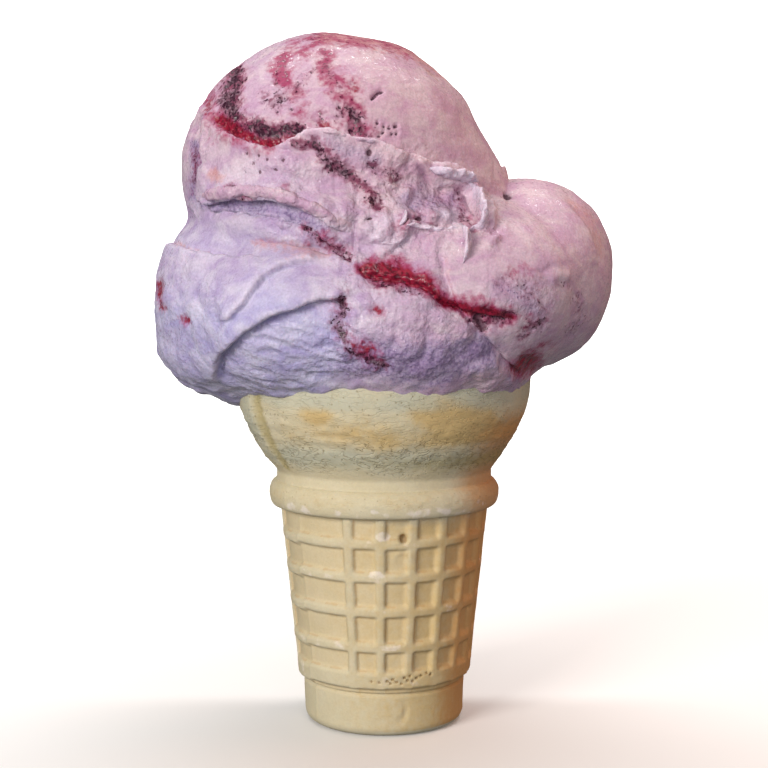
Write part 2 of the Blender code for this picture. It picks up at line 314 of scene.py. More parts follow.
# %% [markdown]
# A ring of the mould is sharp below and slopes away above, because the cup has to leave the
# mould, and the second half of the mould sits half a millimetre lower. Ribs and rings share one
# height, so they join as 1 - (1 - rib)(1 - ring), which never doubles where they cross.

# %% Ribs and rings of the waffle
low_half = smooth(((angle - PARTING) % 360 - 180) / 1.5) * smooth((360 - (angle - PARTING) % 360) / 1.5)
wobble = 0.13 * lumps(around, 9.0, 11) + 0.05 * lumps(around, 2.5, 12)
level = height + wobble + 0.5 * low_half
rib = 1 - smooth((rib_distance(angle + 0.45 * lumps(around, 4.0, 13)) - RIB_HALF_WIDTH + 1.5) / 2.9)
ring = np.zeros(len(angle))
for k, foot in enumerate(RING_FEET):
    top = foot + (BOTTOM_RING_TOP if k == 0 else RING_TOP)
    ring = np.maximum(ring, smooth((level - foot + 0.25) / 0.8) * (1 - smooth((level - top) / 1.4)))
on_stem = smooth((height - RING_FEET[0] + 1.2) / 0.3) * smooth((STEM_TOP + 0.1 - height) / 0.5)
waffle = on_stem * (1 - (1 - rib) * (1 - ring))
below_ring = on_stem * (level < RING_FEET[0] + 0.2)
cup_out = -RELIEF * on_stem * (1 - waffle) * (1 - below_ring) - (RELIEF + 0.1) * below_ring * (1 - ring)
print("ribs and rings cover", round(100 * float((waffle > 0.5).mean())), "% of the points")

# %% [markdown]
# Where the mould's halves meet, batter squeezes out. On the bowl that leaves a long fin with a
# sharp crease on one side, and on the stem a faint upright step with a thin raised line.

# %% Fins and parting lines
away = (PARTING - angle) % 180
fin = np.where(
    away <= FIN_CREASE, away / FIN_CREASE,
    np.cos(np.pi / 2 * np.clip((away - FIN_CREASE) / (FIN_SPREAD - FIN_CREASE), 0, 1)))
bowl_share = (height - NECK) / (BOWL_WIDEST - NECK)
fin_swell = np.where(bowl_share > 0, np.sin(np.pi * np.clip(0.03 + 0.75 * bowl_share, 0, 1)), 0)
lower_bump = bell(bowl_share - 0.22, 0.12) * bell(away - 14, 11)
flash = bell(np.minimum(away, 180 - away), 1.1) * (height > FOOT_ROUND) * (height < COLLAR_MIDDLE + 3)
outside = detail > 0.9
cup_out += outside * (FIN_HEIGHT * fin * fin_swell + 0.35 * lower_bump + 0.16 * flash)
print("fin stands", round(float((FIN_HEIGHT * fin * fin_swell).max()), 2), "mm proud")

# %% [markdown]
# The cup bakes unevenly: batter that slid on the hot metal leaves fine level wrinkles, mostly
# just above the neck and fewer on the collar. The stem has a small broken bubble, a raised flake
# under it, a crescent chip near the foot and a row of gas pits on its lowest ring. Each is a spot
# at a turn angle and height with a soft edge.


# %% Wrinkles, dents and chips
def angle_from(start):
    """Degrees of turn to the right of a starting angle, from -180 to 180."""
    return (angle - start + 180) % 360 - 180


def spot(at_angle, at_height, half_width, half_height):
    """1 at the middle of a spot on the cup, fading to 0 at its edge."""
    across = angle_from(at_angle) * np.pi / 180 * plain
    return 1 - smooth(np.hypot(across / half_width, (height - at_height) / half_height) - 0.5)


squashed = around * [1, 1, 3.2]
wrinkle_zone = outside * smooth((height - NECK - 0.5) / 3) * smooth((BOWL_WIDEST - 0.5 - height) / 8)
wrinkle_zone += 0.4 * outside * bell(height - COLLAR_MIDDLE - 0.4, 2.3)
wrinkles = 0.20 * lumps(squashed, 5.0, 21) + 0.24 * np.abs(lumps(squashed, 3.0, 22))
cup_out += wrinkle_zone * (wrinkles + 0.05 * lumps(around, 1.6, 23))
cup_out += outside * (0.07 * lumps(around, 6.0, 24) + 0.03 * lumps(around, 1.5, 25))

hole = spot(10.8, 41.6, 0.75, 0.85)
flake_edge = spot(10.6, 37.6, 1.7, 1.6) - spot(10.6, 37.2, 1.45, 1.35)
chip = spot(11.5, 5.3, 1.4, 1.9) - spot(9.5, 5.6, 1.5, 1.7)
cup_out += outside * (-1.3 * hole + 0.5 * np.clip(flake_edge, 0, 1) - 0.5 * np.clip(chip, 0, 1))
GAS_PITS = [(2, 12.2), (4, 11.7), (5.5, 12.6), (8, 12.0), (13, 12.8), (15, 12.2), (16.5, 13.1), (21, 12.6),
            (24, 13.0), (28, 13.4), (31, 13.0), (-3, 11.9), (-8, 12.1), (18.5, 12.0), (11, 11.6)]
gas = np.zeros(len(angle))
for at_angle, at_height in GAS_PITS:
    gas = np.maximum(gas, spot(at_angle, at_height, 0.32, 0.3))
cup_out -= 0.35 * outside * gas
print("dents: 1 hole, 1 flake, 1 chip,", len(GAS_PITS), "gas pits")

# %% [markdown]
# The grid becomes faces between neighbouring rows and columns, with one flat face over each of the
# two small middles. The finish needs to know where the grooves, flanks and pits of the cup are, so
# each point keeps a few numbers as attributes, which is what vertex paint is, but made by rule.

# %% Build the cup
radius = plain + cup_out
cup_points = np.stack([radius * np.sin(turn), -radius * np.cos(turn), height], axis=1)
cup_faces = ring_faces(len(row_height), CUP_COLUMNS)
wafer = add_piece("wafer_cup_skin", cup_points, cup_faces, "wafer_cup")
mesh = bmesh.new()
mesh.from_mesh(wafer.data)
bmesh.ops.holes_fill(mesh, edges=[edge for edge in mesh.edges if edge.is_boundary], sides=0)
mesh.to_mesh(wafer.data)
mesh.free()

groove = np.clip(on_stem * (1 - waffle), 0, 1)
# The flank mark is over three times as strong right of each rib's middle: painted shade on the flanks that
# face away from the light.
rib_side = np.sign((angle - PARTING - 90 + RIB_STEP / 2) % RIB_STEP - RIB_STEP / 2)
flank = on_stem * np.clip(1 - np.abs(waffle - 0.35) / 0.35, 0, 1) * (0.65 + 0.35 * rib_side)
pit = np.clip(hole + gas + 0.6 * chip, 0, 1) * outside
store(wafer, groove=groove, flank=np.clip(flank, 0, 1), pit=pit)
print("cup skin:", len(wafer.data.polygons), "faces")

# %% [markdown]
# ## Finish: baked wafer
#
# Wafer cup batter is flour, starch and a little sugar, baked between hot metal for a minute. It is
# matt and pale cream, toasts to ochre where it touched the metal longest, and carries a
# pinkish-white dust of starch on its edges. Grey-green is painted where the bowl lies in cool
# shade: under the ice cream, where the bowl curves in above the neck, and on the fin. Warm brown is
# painted on the right-hand side, and the stem's toasting grows towards the right, as warm light and
# shade. Toasting and dust follow where the cup was baked and handled, so they come from rules of
# height and angle, and the nodes add grain, hairline cracks and pores.

# %% Where the wafer is toasted, dusty and cracked, and where light and shade are painted
TOASTED_BAND, UNDERCURVE_SHADE_BAND, CRACKED_BAND, RIGHT_SHADE_BAND = 63.4, 58.0, 58.5, 57.0
toast = outside * bell(height - TOASTED_BAND - 1.3 * lumps(around, 16.0, 31), 2.9)
toast = toast * np.clip(0.85 + 0.6 * lumps(around, 9.0, 32), 0, 1) * smooth((angle_from(-46) + 4) / 10)
toast *= 0.5 + 0.5 * smooth((angle_from(-25) + 10) / 45)
toast += 0.75 * spot(-26, 67.2, 3.6, 1.9) + 0.8 * spot(20, 68.0, 6.0, 3.0) + 0.6 * spot(34, 66.0, 7.0, 4.0)
on_collar = outside * bell(height - COLLAR_MIDDLE - 0.6, 2.4)
toast += 0.3 * on_collar * smooth(0.5 + 1.5 * lumps(around, 11.0, 33))
to_the_right = 0.5 + 0.5 * np.sin(turn)
# On the stem the toasted mark grows towards the right-hand side: painted warm light and shade there, with a
# little random toasting.
toast += outside * smooth((46.5 - height) / 3) * (0.85 * to_the_right + 0.10 * lumps(around, 10.0, 38))
toast = np.clip(toast, 0, 1)
# Warm brown on the right-hand side, fading out high on the bowl: painted warm light and shade.
brown = outside * smooth((to_the_right - 0.72) / 0.26) * smooth((70 - height) / 8)
# Grey-green is painted cool shade: under the ice cream at the top of the bowl, in a band where the bowl
# curves in above the neck, and on the fin.
green = outside * (smooth((height - 66.5) / 3) + bell(height - UNDERCURVE_SHADE_BAND, 2.6))
green = np.maximum(green, 1.1 * outside * fin * fin_swell)
green = green * np.clip(0.85 + 0.5 * lumps(around, 8.0, 34), 0, 1)
dust = bell(height - COLLAR_MIDDLE + 1.4, 1.2) * smooth(0.3 + 1.3 * lumps(around, 3.0, 35))
dust += 1.2 * spot(-0.8, 42.3, 1.7, 1.0) + 0.8 * spot(-4, 34.5, 1.6, 0.8) + 0.7 * spot(3.5, 19.2, 2.5, 0.8)
dust += 0.55 * (ring * on_stem * smooth((1.2 * lumps(around, 4.0, 36) - 0.1) / 0.5))
cracked = outside * smooth((height - NECK) / 2) * (0.35 + 0.5 * bell(height - CRACKED_BAND, 3.5))
cracked *= np.clip(1.0 + 0.8 * lumps(around, 7.0, 37), 0.2, 1.4)
cracked = cracked + 0.15 * outside + 0.2 * on_collar
# Painted shade: dark along the crease beside the fin, and in a band on the right-hand side just above the
# neck.
crease = outside * bell(angle_from(PARTING) - 0.5, 2.6) * smooth((height - NECK) / 2)
crease += 0.9 * outside * to_the_right * bell(height - RIGHT_SHADE_BAND, 2.3)
store(wafer, toast=toast, brown=np.clip(brown, 0, 1), green=np.clip(green, 0, 1),
      crease=np.clip(crease, 0, 1), cracked=np.clip(cracked, 0, 1), dust=np.clip(dust, 0, 1) * outside)
print("toasted share", round(float(toast.mean()), 3))

# %% Baked wafer
wafer_finish, tree, shader = new_finish("baked wafer")
place = node(tree, "TexCoord", {}, {})["Object"]
marks = marks_of(tree, "groove flank pit toast brown green dust crease cracked")
# Grain of flour and starch: about 0.3 mm, drawn at 0.45 mm so that it shows.
grain = noise(tree, place, 0.45, 3.0)
# Cloudy browning, in patches of about 5 mm.
clouds = noise(tree, place, 5.0, 4.0)
# Mottling between the two, about 1.4 mm.
mottle = noise(tree, place, 1.4, 3.0)
# Hairline cracks run where a wandering noise crosses its middle value, and pores are small cells.
squat = node(tree, "VectorMath", {"operation": "MULTIPLY"}, {0: place, 1: (0.6, 0.6, 1.4)})[0]
wander = noise(tree, squat, 1.5, 3.0, 0.4)
from_middle = maths(tree, "ABSOLUTE", maths(tree, "SUBTRACT", wander, 0.5))
cracks = maths(tree, "MULTIPLY", ramp(tree, from_middle, 0.0, 0.045, 1.0, 0.0), mottle)
cells = node(tree, "TexVoronoi", {}, {"Vector": place, "Scale": 1 / MM / 1.3})["Distance"]
pores = ramp(tree, cells, 0.12, 0.32, 1.0, 0.0)
WAFER_LAYERS = [
    # mark, colour, how much it covers, what breaks it up, how much, and where cover starts and ends
    # The first layer also carries painted warm light and shade on the right of the stem.
    ("toast", "c6a768", 0.78, mottle, 0.6, 0.05, 0.95),
    # Painted cool shade.
    ("green", "b3b5a1", 0.70, clouds, 0.9, 0.05, 1.00),
    # Painted warm light and shade on the right-hand side.
    ("brown", "c48a4e", 0.70, mottle, 0.5, 0.05, 1.00),
    # Painted shade on the flanks.
    ("flank", "b07c3e", 0.28, mottle, 0.8, 0.15, 0.90),
    ("groove", "d2b57f", 0.25, clouds, 0.5, 0.20, 0.90),
    # Painted shade by the fin and above the neck.
    ("crease", "a0915c", 0.70, mottle, 0.8, 0.10, 1.00),
    ("cracked", "83754e", 0.27, cracks, 1.6, 0.10, 0.90),
    ("cracked", "74643f", 0.42, pores, 1.4, 0.85, 1.15),
    ("dust", "eae0d4", 0.62, mottle, 2.0, 0.40, 1.10),
    ("pit", "7d5a2a", 0.62, grain, 0.5, 0.30, 0.70),
]
colour = mix(tree, clouds, linear("c3b793"), linear("d1c9ad"))
for mark, shade, *layer in WAFER_LAYERS:
    colour = paint(tree, colour, marks[mark], linear(shade), *layer)
speckle = ramp(tree, grain, 0.3, 0.7, 0.96, 1.03)
relief_bump = bump(tree, mottle, 0.5, 0.14)
relief_bump = bump(tree, maths(tree, "MULTIPLY", cracks, marks["cracked"]), 0.8, 0.25, relief_bump, True)
relief_bump = bump(tree, grain, 0.3, 0.05, relief_bump)
plug(tree, shader, {
    "Base Color": node(tree, "VectorMath", {"operation": "SCALE"}, {0: colour, 3: speckle})[0],
    "Roughness": ramp(tree, mottle, 0.3, 0.7, 0.68, 0.86),
    "IOR": 1.45,
    "Specular IOR Level": 0.35,
    "Subsurface Weight": 0.08,
    "Subsurface Radius": (1.0, 0.6, 0.3),
    "Subsurface Scale": 0.8 * MM,
    "Normal": relief_bump,
})
wafer.data.materials.append(wafer_finish)
print(wafer_finish.name, "has", len(tree.nodes), "nodes")

# %% [markdown]
# ## The ice cream
#
# The real mass was scraped up with a spade and pressed on in three goes, so it is a heap of
# rounded lobes that flow into each other, under folds and torn edges. Sculpting would be quickest
# by hand and metaballs would join the lobes, but neither gives exact places. Here a fine ball of
# points looks out from the heart of the mass, and every point goes as far as the joined lobes
# reach. The lobes are the ellipsoids of the solid, so the skin has the solid's size.

# %% Lobes of the ice cream: centre and half-widths
LOBES = {
    "top scoop": ((-10.2, 0.0, 114.2), (31.6, 31.0, 29.1)),
    "top scoop's right step": ((3.7, 1.5, 101.7), (24.2, 28.0, 28.9)),
    "right bulge": ((30.6, 0.0, 94.3), (17.2, 22.0, 19.5)),
    "right front": ((17.0, -7.0, 91.5), (25.0, 28.0, 19.0)),
    "middle band": ((-6.0, -6.0, 104.0), (30.0, 27.0, 12.0)),
    "left shoulder": ((-28.0, 0.0, 88.0), (19.7, 26.0, 21.3)),
    "left front": ((-17.0, -8.0, 86.5), (24.0, 28.5, 18.5)),
    "lower left bulge": ((-25.8, 0.0, 79.6), (20.9, 24.0, 11.0)),
    "lower mass": ((0.4, -1.0, 86.0), (35.4, 37.0, 23.7)),
    "back left": ((-17.0, 11.0, 91.0), (25.0, 26.0, 20.0)),
    "back right": ((10.0, 13.0, 94.0), (29.0, 26.0, 20.0)),
}
HEART = np.array([-2.0, 0.0, 98.0])
BLEND = 1.2


def lobe_reach(directions):
    """How far the joined lobes reach from the heart along each unit direction."""
    total = np.zeros(len(directions))
    for centre, half in LOBES.values():
        start = (HEART - centre) / half
        step = directions / half
        a, b, c = (step**2).sum(axis=1), (step * start).sum(axis=1), (start**2).sum() - 1
        inside = b * b - a * c
        far = np.where(inside > 0, (-b + np.sqrt(np.maximum(inside, 0))) / a, 0)
        total += np.exp(far / BLEND)
    return BLEND * np.log(total)


print("the heart sees the top at", round(float(lobe_reach(np.array([[0.0, 0.0, 1.0]]))[0]), 1), "mm")

# %% [markdown]
# The ball starts as a cube with a grid on each side, because its squares stay even, without the
# crowded poles of a UV sphere. Pulling all directions towards the front makes the squares there
# smaller, about 0.4 mm, where the folds are finest. 196,608 triangles is as fine as one piece may be.

# %% A ball of points, denser at the front
BALL_GRID, FRONT_PULL = 128, 0.3
mesh = bmesh.new()
bmesh.ops.create_cube(mesh, size=2.0)
bmesh.ops.subdivide_edges(mesh, edges=mesh.edges, cuts=BALL_GRID - 1, use_grid_fill=True)
directions = np.tan(np.array([vert.co[:] for vert in mesh.verts]) * math.pi / 4)
cream_faces = np.array([[vert.index for vert in face.verts] for face in mesh.faces])
mesh.free()
directions /= np.linalg.norm(directions, axis=1, keepdims=True)
directions[:, 1] -= FRONT_PULL
directions /= np.linalg.norm(directions, axis=1, keepdims=True)
cream = HEART + directions * lobe_reach(directions)[:, None]
print(len(cream), "points,", 2 * len(cream_faces), "triangles")


# %% Which way the skin faces
def facing(points, faces):
    """Unit normals of the points of a closed skin of quads."""
    a, b, c, d = (points[faces[:, k]] for k in range(4))
    across = np.cross(c - a, d - b)
    normals = np.zeros_like(points)
    for k in range(4):
        for axis in range(3):
            normals[:, axis] += np.bincount(faces[:, k], across[:, axis], len(points))
    normals /= np.linalg.norm(normals, axis=1, keepdims=True)
    return normals * np.sign((normals * (points - HEART)).sum(axis=1).mean())


normals = facing(cream, cream_faces)
print("normals point outwards:", bool((normals * directions).sum(axis=1).mean() > 0))

# %% [markdown]
# Folds, veins and pits are drawn on an upright card through the cup's axis, as on tracing paper,
# and carried along sight lines from an eye point to the skin. The same card serves the back, seen
# from behind. A line's distance then says how strongly it acts on each point.

# %% The drawing card
EYE_DISTANCE, EYE_HEIGHT = 320.0, 97.0
FRONT, BACK = 1, -1
UPPER, LOWER = 1, -1


def on_card(points, side):
    """Where the sight lines from the eye to the points cross the upright card."""
    scale = EYE_DISTANCE / (EYE_DISTANCE + side * points[:, 1])
    return np.stack([side * points[:, 0] * scale, EYE_HEIGHT + (points[:, 2] - EYE_HEIGHT) * scale], axis=1)


def line_run(line):
    """The length of each stretch of a drawn line, and how far along it each of its points is."""
    lengths = np.hypot(*(line[1:, :2] - line[:-1, :2]).T)
    return lengths, np.concatenate([[0], np.cumsum(lengths)])


def line_distance(spots, line):
    """Distance to a drawn line, its side, the share along it, its width there and the way off it."""
    line = np.array([(*point, 1.0)[:3] for point in line], float)
    lengths, starts = line_run(line)
    best = np.full(len(spots), 1e9)
    side, along, width = np.ones(len(spots)), np.zeros(len(spots)), np.ones(len(spots))
    off = np.zeros((len(spots), 2))
    for k, length in enumerate(lengths):
        way = (line[k + 1, :2] - line[k, :2]) / length
        offset = spots - line[k, :2]
        t = np.clip(offset @ way, 0, length)
        clear = offset - t[:, None] * way
        away = np.hypot(clear[:, 0], clear[:, 1])
        near = away < best
        best = np.where(near, away, best)
        side = np.where(near, np.sign(way[0] * offset[:, 1] - way[1] * offset[:, 0]), side)
        along = np.where(near, (starts[k] + t) / starts[-1], along)
        width = np.where(near, line[k, 2] + (line[k + 1, 2] - line[k, 2]) * t / length, width)
        off = np.where(near[:, None], clear, off)
    return best, side, along, width, off / np.maximum(best, 0.05)[:, None]


def ends(along, share):
    """Fades a line out over a share of its length at both ends."""
    return smooth(along / share) * smooth((1 - along) / share)


def seen_from(side, depth=4.0):
    """1 on the half of the skin that the card's side draws on, fading to 0 behind the middle."""
    return smooth((depth - side * cream[:, 1]) / 8)


print("a point on the card:", on_card(np.array([[10.0, -30.0, 90.0]]), FRONT).round(2))

# %% [markdown]
# ### Folds
#
# Each stroke of the spade leaves a flap of ice cream over the one before. At a fold's line one side
# stands out and the other sinks, and the raised side also slides a little over the sunk one, so
# that it really overhangs and throws a shadow. A bump map can't do that. The lines are shaken a
# little, because ice cream tears and never cuts clean.

# %% Fold lines
FOLDS = {
    # side, edge that stands out, lift, trough, reach, slide, and points on the card
    "lip under the top scoop": (FRONT, LOWER, 1.5, 0.9, 4.5, 0.9, [(-38, 126.5), (-33, 123), (-28, 120.5),
        (-23.5, 119.8), (-21, 120.5), (-18, 122), (-15, 123.4), (-11.5, 123.4), (-9, 122.5), (-4.5, 121.7),
        (-1.5, 121.3), (1, 120.3), (4, 119), (6.5, 117.8), (9, 116.8), (13, 116), (17.5, 114.5),
        (20.5, 112.5)]),
    "underside of the lip": (FRONT, UPPER, 0.5, 1.0, 1.6, 0.4, [(-25, 119.6), (-22, 119.7), (-18.5, 119.2),
        (-16.5, 119.7), (-14.5, 120.2), (-12, 119)]),
    "slab edge": (FRONT, UPPER, 1.7, 1.7, 3.0, 1.1, [(-40, 109), (-34.5, 109.5), (-31, 110.3), (-26.5, 110),
        (-22.5, 109.8), (-16.5, 107.5), (-12, 105.5), (-7, 102)]),
    "band edge": (FRONT, UPPER, 0.8, 0.8, 2.0, 0.4, [(-39, 107.5), (-30, 107), (-24.5, 106.3),
        (-20.5, 105.2), (-15, 103.5), (-11.5, 100.5), (-8, 97.5)]),
    "shoulder crease": (FRONT, LOWER, 1.0, 1.0, 3.5, 0.5, [(-47, 100.5), (-40.5, 99), (-36.5, 98), (-30, 97),
        (-25, 97.3)]),
    "tongue": (FRONT, LOWER, 0.9, 0.5, 2.2, 0.4, [(-28, 100.8), (-21, 99.7), (-15.5, 98.7), (-10.5, 97.6),
        (-5, 95.5)]),
    "upper ridge": (FRONT, UPPER, 1.4, 0.8, 4.0, 0.6, [(-34, 84), (-32, 85), (-29, 88), (-27, 90.5),
        (-25, 93), (-21, 95), (-17.5, 96), (-13, 96.3)]),
    "lower ridge": (FRONT, UPPER, 2.2, 1.3, 5.0, 1.4, [(-34.5, 70.5), (-35.5, 74), (-35.5, 76.5),
        (-34, 78.5), (-32, 80.3), (-29.5, 82.5), (-26.5, 84.5), (-23.5, 85.7), (-20.5, 86.7), (-17, 88),
        (-13, 89), (-10.5, 89.2), (-6, 90)]),
    "ripple furrow": (FRONT, UPPER, 0.9, 1.3, 3.5, 0.4, [(-6, 95.2), (-1, 94), (4, 93.5), (8.5, 92),
        (11.5, 89.5), (16.5, 87), (21.5, 85.5), (28, 84.5)]),
    "right crease": (FRONT, UPPER, 0.5, 1.3, 4.0, 0.4, [(12.5, 98.5), (13, 94.5), (14, 91.5), (15.5, 88.5),
        (17.5, 86), (20.5, 82), (25, 77.5), (29, 73)]),
    "ribbon": (FRONT, UPPER, 0.8, 1.1, 2.0, 0.5, [(5.5, 117.2), (7.5, 115.6), (9.5, 113.6), (11.5, 112.4),
        (14.5, 112.2), (17, 111)]),
    "curled blade, outside": (FRONT, LOWER, 0.8, 0.5, 1.8, 0.3, [(17.5, 114), (19.2, 111.8), (20.6, 109),
        (21.3, 106), (21.2, 103.6), (19.6, 102.6)]),
    "curled blade, inside": (FRONT, UPPER, 0.9, 1.7, 1.5, 0.3, [(15.5, 112.6), (17.6, 110), (18.9, 107),
        (19.4, 104.3), (18.6, 103)]),
    "torn flap": (FRONT, LOWER, 1.1, 0.9, 2.5, 0.7, [(2, 106), (5, 105), (8, 104.3), (10.5, 103.2),
        (13.5, 102.6), (15, 103.5), (16, 104.3), (17.3, 103.3), (18, 100.5), (17.8, 96.5)]),
    "lump, right edge": (FRONT, LOWER, 0.9, 0.9, 2.0, 0.5, [(4.8, 107), (4.7, 104), (4, 101.7), (1.5, 99),
        (-1.5, 97.3)]),
    "lump, left edge": (FRONT, UPPER, 0.4, 0.9, 1.8, 0.3, [(-4.8, 106), (-5.6, 102), (-6.3, 98.5),
        (-7.2, 96.2)]),
    "torn layer by the right bulge": (FRONT, LOWER, 0.5, 0.4, 1.5, 0.3, [(20.5, 112), (22.5, 109.8),
        (23.3, 107), (22.8, 104.3), (21, 101.5)]),
    "layer on the top scoop": (FRONT, LOWER, 0.3, 0.6, 3.0, 0.2, [(8, 137), (11, 134), (14.5, 130.5),
        (18, 126.5), (20.5, 122), (22.5, 117), (23, 112)]),
    "layer on the right bulge": (FRONT, LOWER, 0.2, 0.5, 2.5, 0.2, [(37, 110), (39.5, 107.5), (41.5, 105.5),
        (43.5, 102), (44.5, 99), (45, 95)]),
    "left strip": (FRONT, UPPER, 0.4, 0.8, 2.0, 0.3, [(-38, 122), (-37.5, 117), (-39, 113), (-39, 108)]),
    "back lip": (BACK, LOWER, 1.6, 1.2, 5.0, 1.0, [(-30, 118), (-14, 112), (4, 114), (22, 121), (34, 128)]),
    "back fold": (BACK, UPPER, 1.5, 1.2, 4.5, 0.9, [(-40, 96), (-24, 91), (-6, 93), (12, 88), (30, 92)]),
    "back ridge": (BACK, UPPER, 1.5, 0.9, 4.5, 0.9, [(-22, 76), (-8, 82), (8, 80), (22, 84)]),
}
EDGE_SOFTNESS = 0.4


def along_skin(way_off, side):
    """The way along the skin that runs as a direction drawn on the card."""
    way = np.stack([side * way_off[:, 0], np.zeros(len(way_off)), way_off[:, 1]], axis=1)
    way -= (way * normals).sum(axis=1)[:, None] * normals
    return way / np.maximum(np.linalg.norm(way, axis=1, keepdims=True), 0.3)


shake = np.stack([
    lumps(cream, 4.0, seed) + 0.35 * lumps(cream, 1.4, seed + 2) for seed in (41, 42)], axis=1)
lift = np.zeros(len(cream))
slide = np.zeros_like(cream)
thin = np.zeros(len(cream))
for side, edge, high, trough, reach, over, line in FOLDS.values():
    away, hand, along, _, off = line_distance(on_card(cream, side) + 0.4 * shake, line)
    taper = ends(along, 0.12) * seen_from(side)
    share = smooth((edge * hand * away / EDGE_SOFTNESS + 1) / 2)
    rounded = 1 - 0.25 * bell(away, 0.6)
    lift += taper * share * high * np.exp(-away / reach) * rounded
    lift -= taper * (1 - share) * trough * np.exp(-away / (0.35 + 0.22 * reach))
    pushed = taper * share * over * np.exp(-away / 1.6)
    slide -= pushed[:, None] * along_skin((edge * hand)[:, None] * off, side)
    thin = np.maximum(thin, taper * share * min(high, 1.0) * np.exp(-away / 0.9))
print(len(FOLDS), "folds lift up to", round(float(lift.max()), 2), "mm")

# %% [markdown]
# ### Texture of the ice cream
#
# Scooped ice cream is smooth where the spade pressed it and torn where it broke away. Torn parts
# get lumps of 6 mm down to 1 mm, smooth ones a slow swell and faint scrapes. Under the lower ridge
# the spade chattered and left level ripples, about 2 mm apart. Each zone is a soft oval on the card.


# %% Torn, rippled and pale zones
def zone(side, ovals):
    """1 inside any of the ovals on the card, each (across, up, half width, half height, strength)."""
    spots = on_card(cream, side) + 1.5 * shake
    total = np.zeros(len(cream))
    for across, up, half_width, half_height, strength in ovals:
        away = np.hypot((spots[:, 0] - across) / half_width, (spots[:, 1] - up) / half_height)
        total = np.maximum(total, strength * (1 - smooth((away - 0.55) / 0.75)))
    return total * seen_from(side)


TORN_FRONT = [
    (5, 107, 16, 9, 1.0), (-14, 104.5, 11, 4, 0.95), (-31, 108.8, 9, 2.8, 1.1), (-4, 92, 8, 6, 0.7),
    (12, 100, 9, 5, 0.8), (22, 106, 3.5, 8, 0.8), (-4, 117.5, 15, 4, 0.7), (-9, 82, 4.5, 9, 0.8),
    (-3, 76, 10, 4, 0.6), (-29, 124, 7, 4, 0.5), (8, 91, 6, 4, 0.6), (22, 73, 6, 3.5, 0.5),
    (-42, 79, 6, 9, 0.4), (27, 90, 8, 5, 0.35), (-8, 98, 5, 3, 0.9), (-37, 124, 3, 8, 0.7),
    (6, 81, 16, 9, 0.6), (-40, 88, 9, 12, 0.45), (-22, 114.5, 13, 5, 0.72),
]
TORN_BACK = [(-6, 113, 26, 6, 0.9), (0, 91, 30, 5, 0.8), (-20, 78, 12, 6, 0.6), (24, 104, 10, 9, 0.5)]
RIPPLED_FRONT = [(-21, 78, 14, 9.5, 1.0), (-30, 73, 6, 6, 0.8)]
PALE_FRONT = [
    (11, 100, 7, 5, 0.25), (0.5, 102, 5, 5, 0.65), (-25, 114.5, 12, 4, 0.4), (13, 105.8, 3, 1.6, 0.7),
]
torn = np.maximum(zone(FRONT, TORN_FRONT), zone(BACK, TORN_BACK))
rippled = zone(FRONT, RIPPLED_FRONT)
thin = np.maximum(thin, zone(FRONT, PALE_FRONT))
print("torn share", round(float(torn.mean()), 2), "rippled share", round(float(rippled.mean()), 2))

# %% Relief of the zones
calm = 1 - np.clip(torn, 0, 1)
swell = 0.45 * calm * lumps(cream, 12.0, 51) + 0.16 * lumps(cream, 5.0, 52)
crags = 1.7 * np.abs(lumps(cream, 6.0, 53)) + 0.65 * np.abs(lumps(cream, 2.9, 54)) - 0.75
tears = torn * (crags + 0.5 * lumps(cream, 4.4, 55))
fine_tears = 0.05 * lumps(cream, 2.4, 62) + (0.09 + 0.34 * torn) * (np.abs(lumps(cream, 1.4, 56)) - 0.25)
tilted = cream[:, 2:] + 0.16 * cream[:, :1] + 0.9 * shake[:, :1]
flattened = np.hstack([0.26 * cream[:, :2], tilted])
ripples = rippled * (0.34 - 0.95 * np.abs(lumps(flattened, 2.1, 57)) + 0.12 * lumps(flattened, 1.1, 58))
scrapes = 0.05 * calm * lumps(cream * [1.0, 0.5, 0.35], 1.5, 59)
ragged = smooth((77 - cream[:, 2]) / 6) * (0.5 * lumps(cream, 5.5, 60) + 0.35 * lumps(cream, 2.5, 61))
print("torn lumps up to", round(float(tears.max()), 2), "mm high")
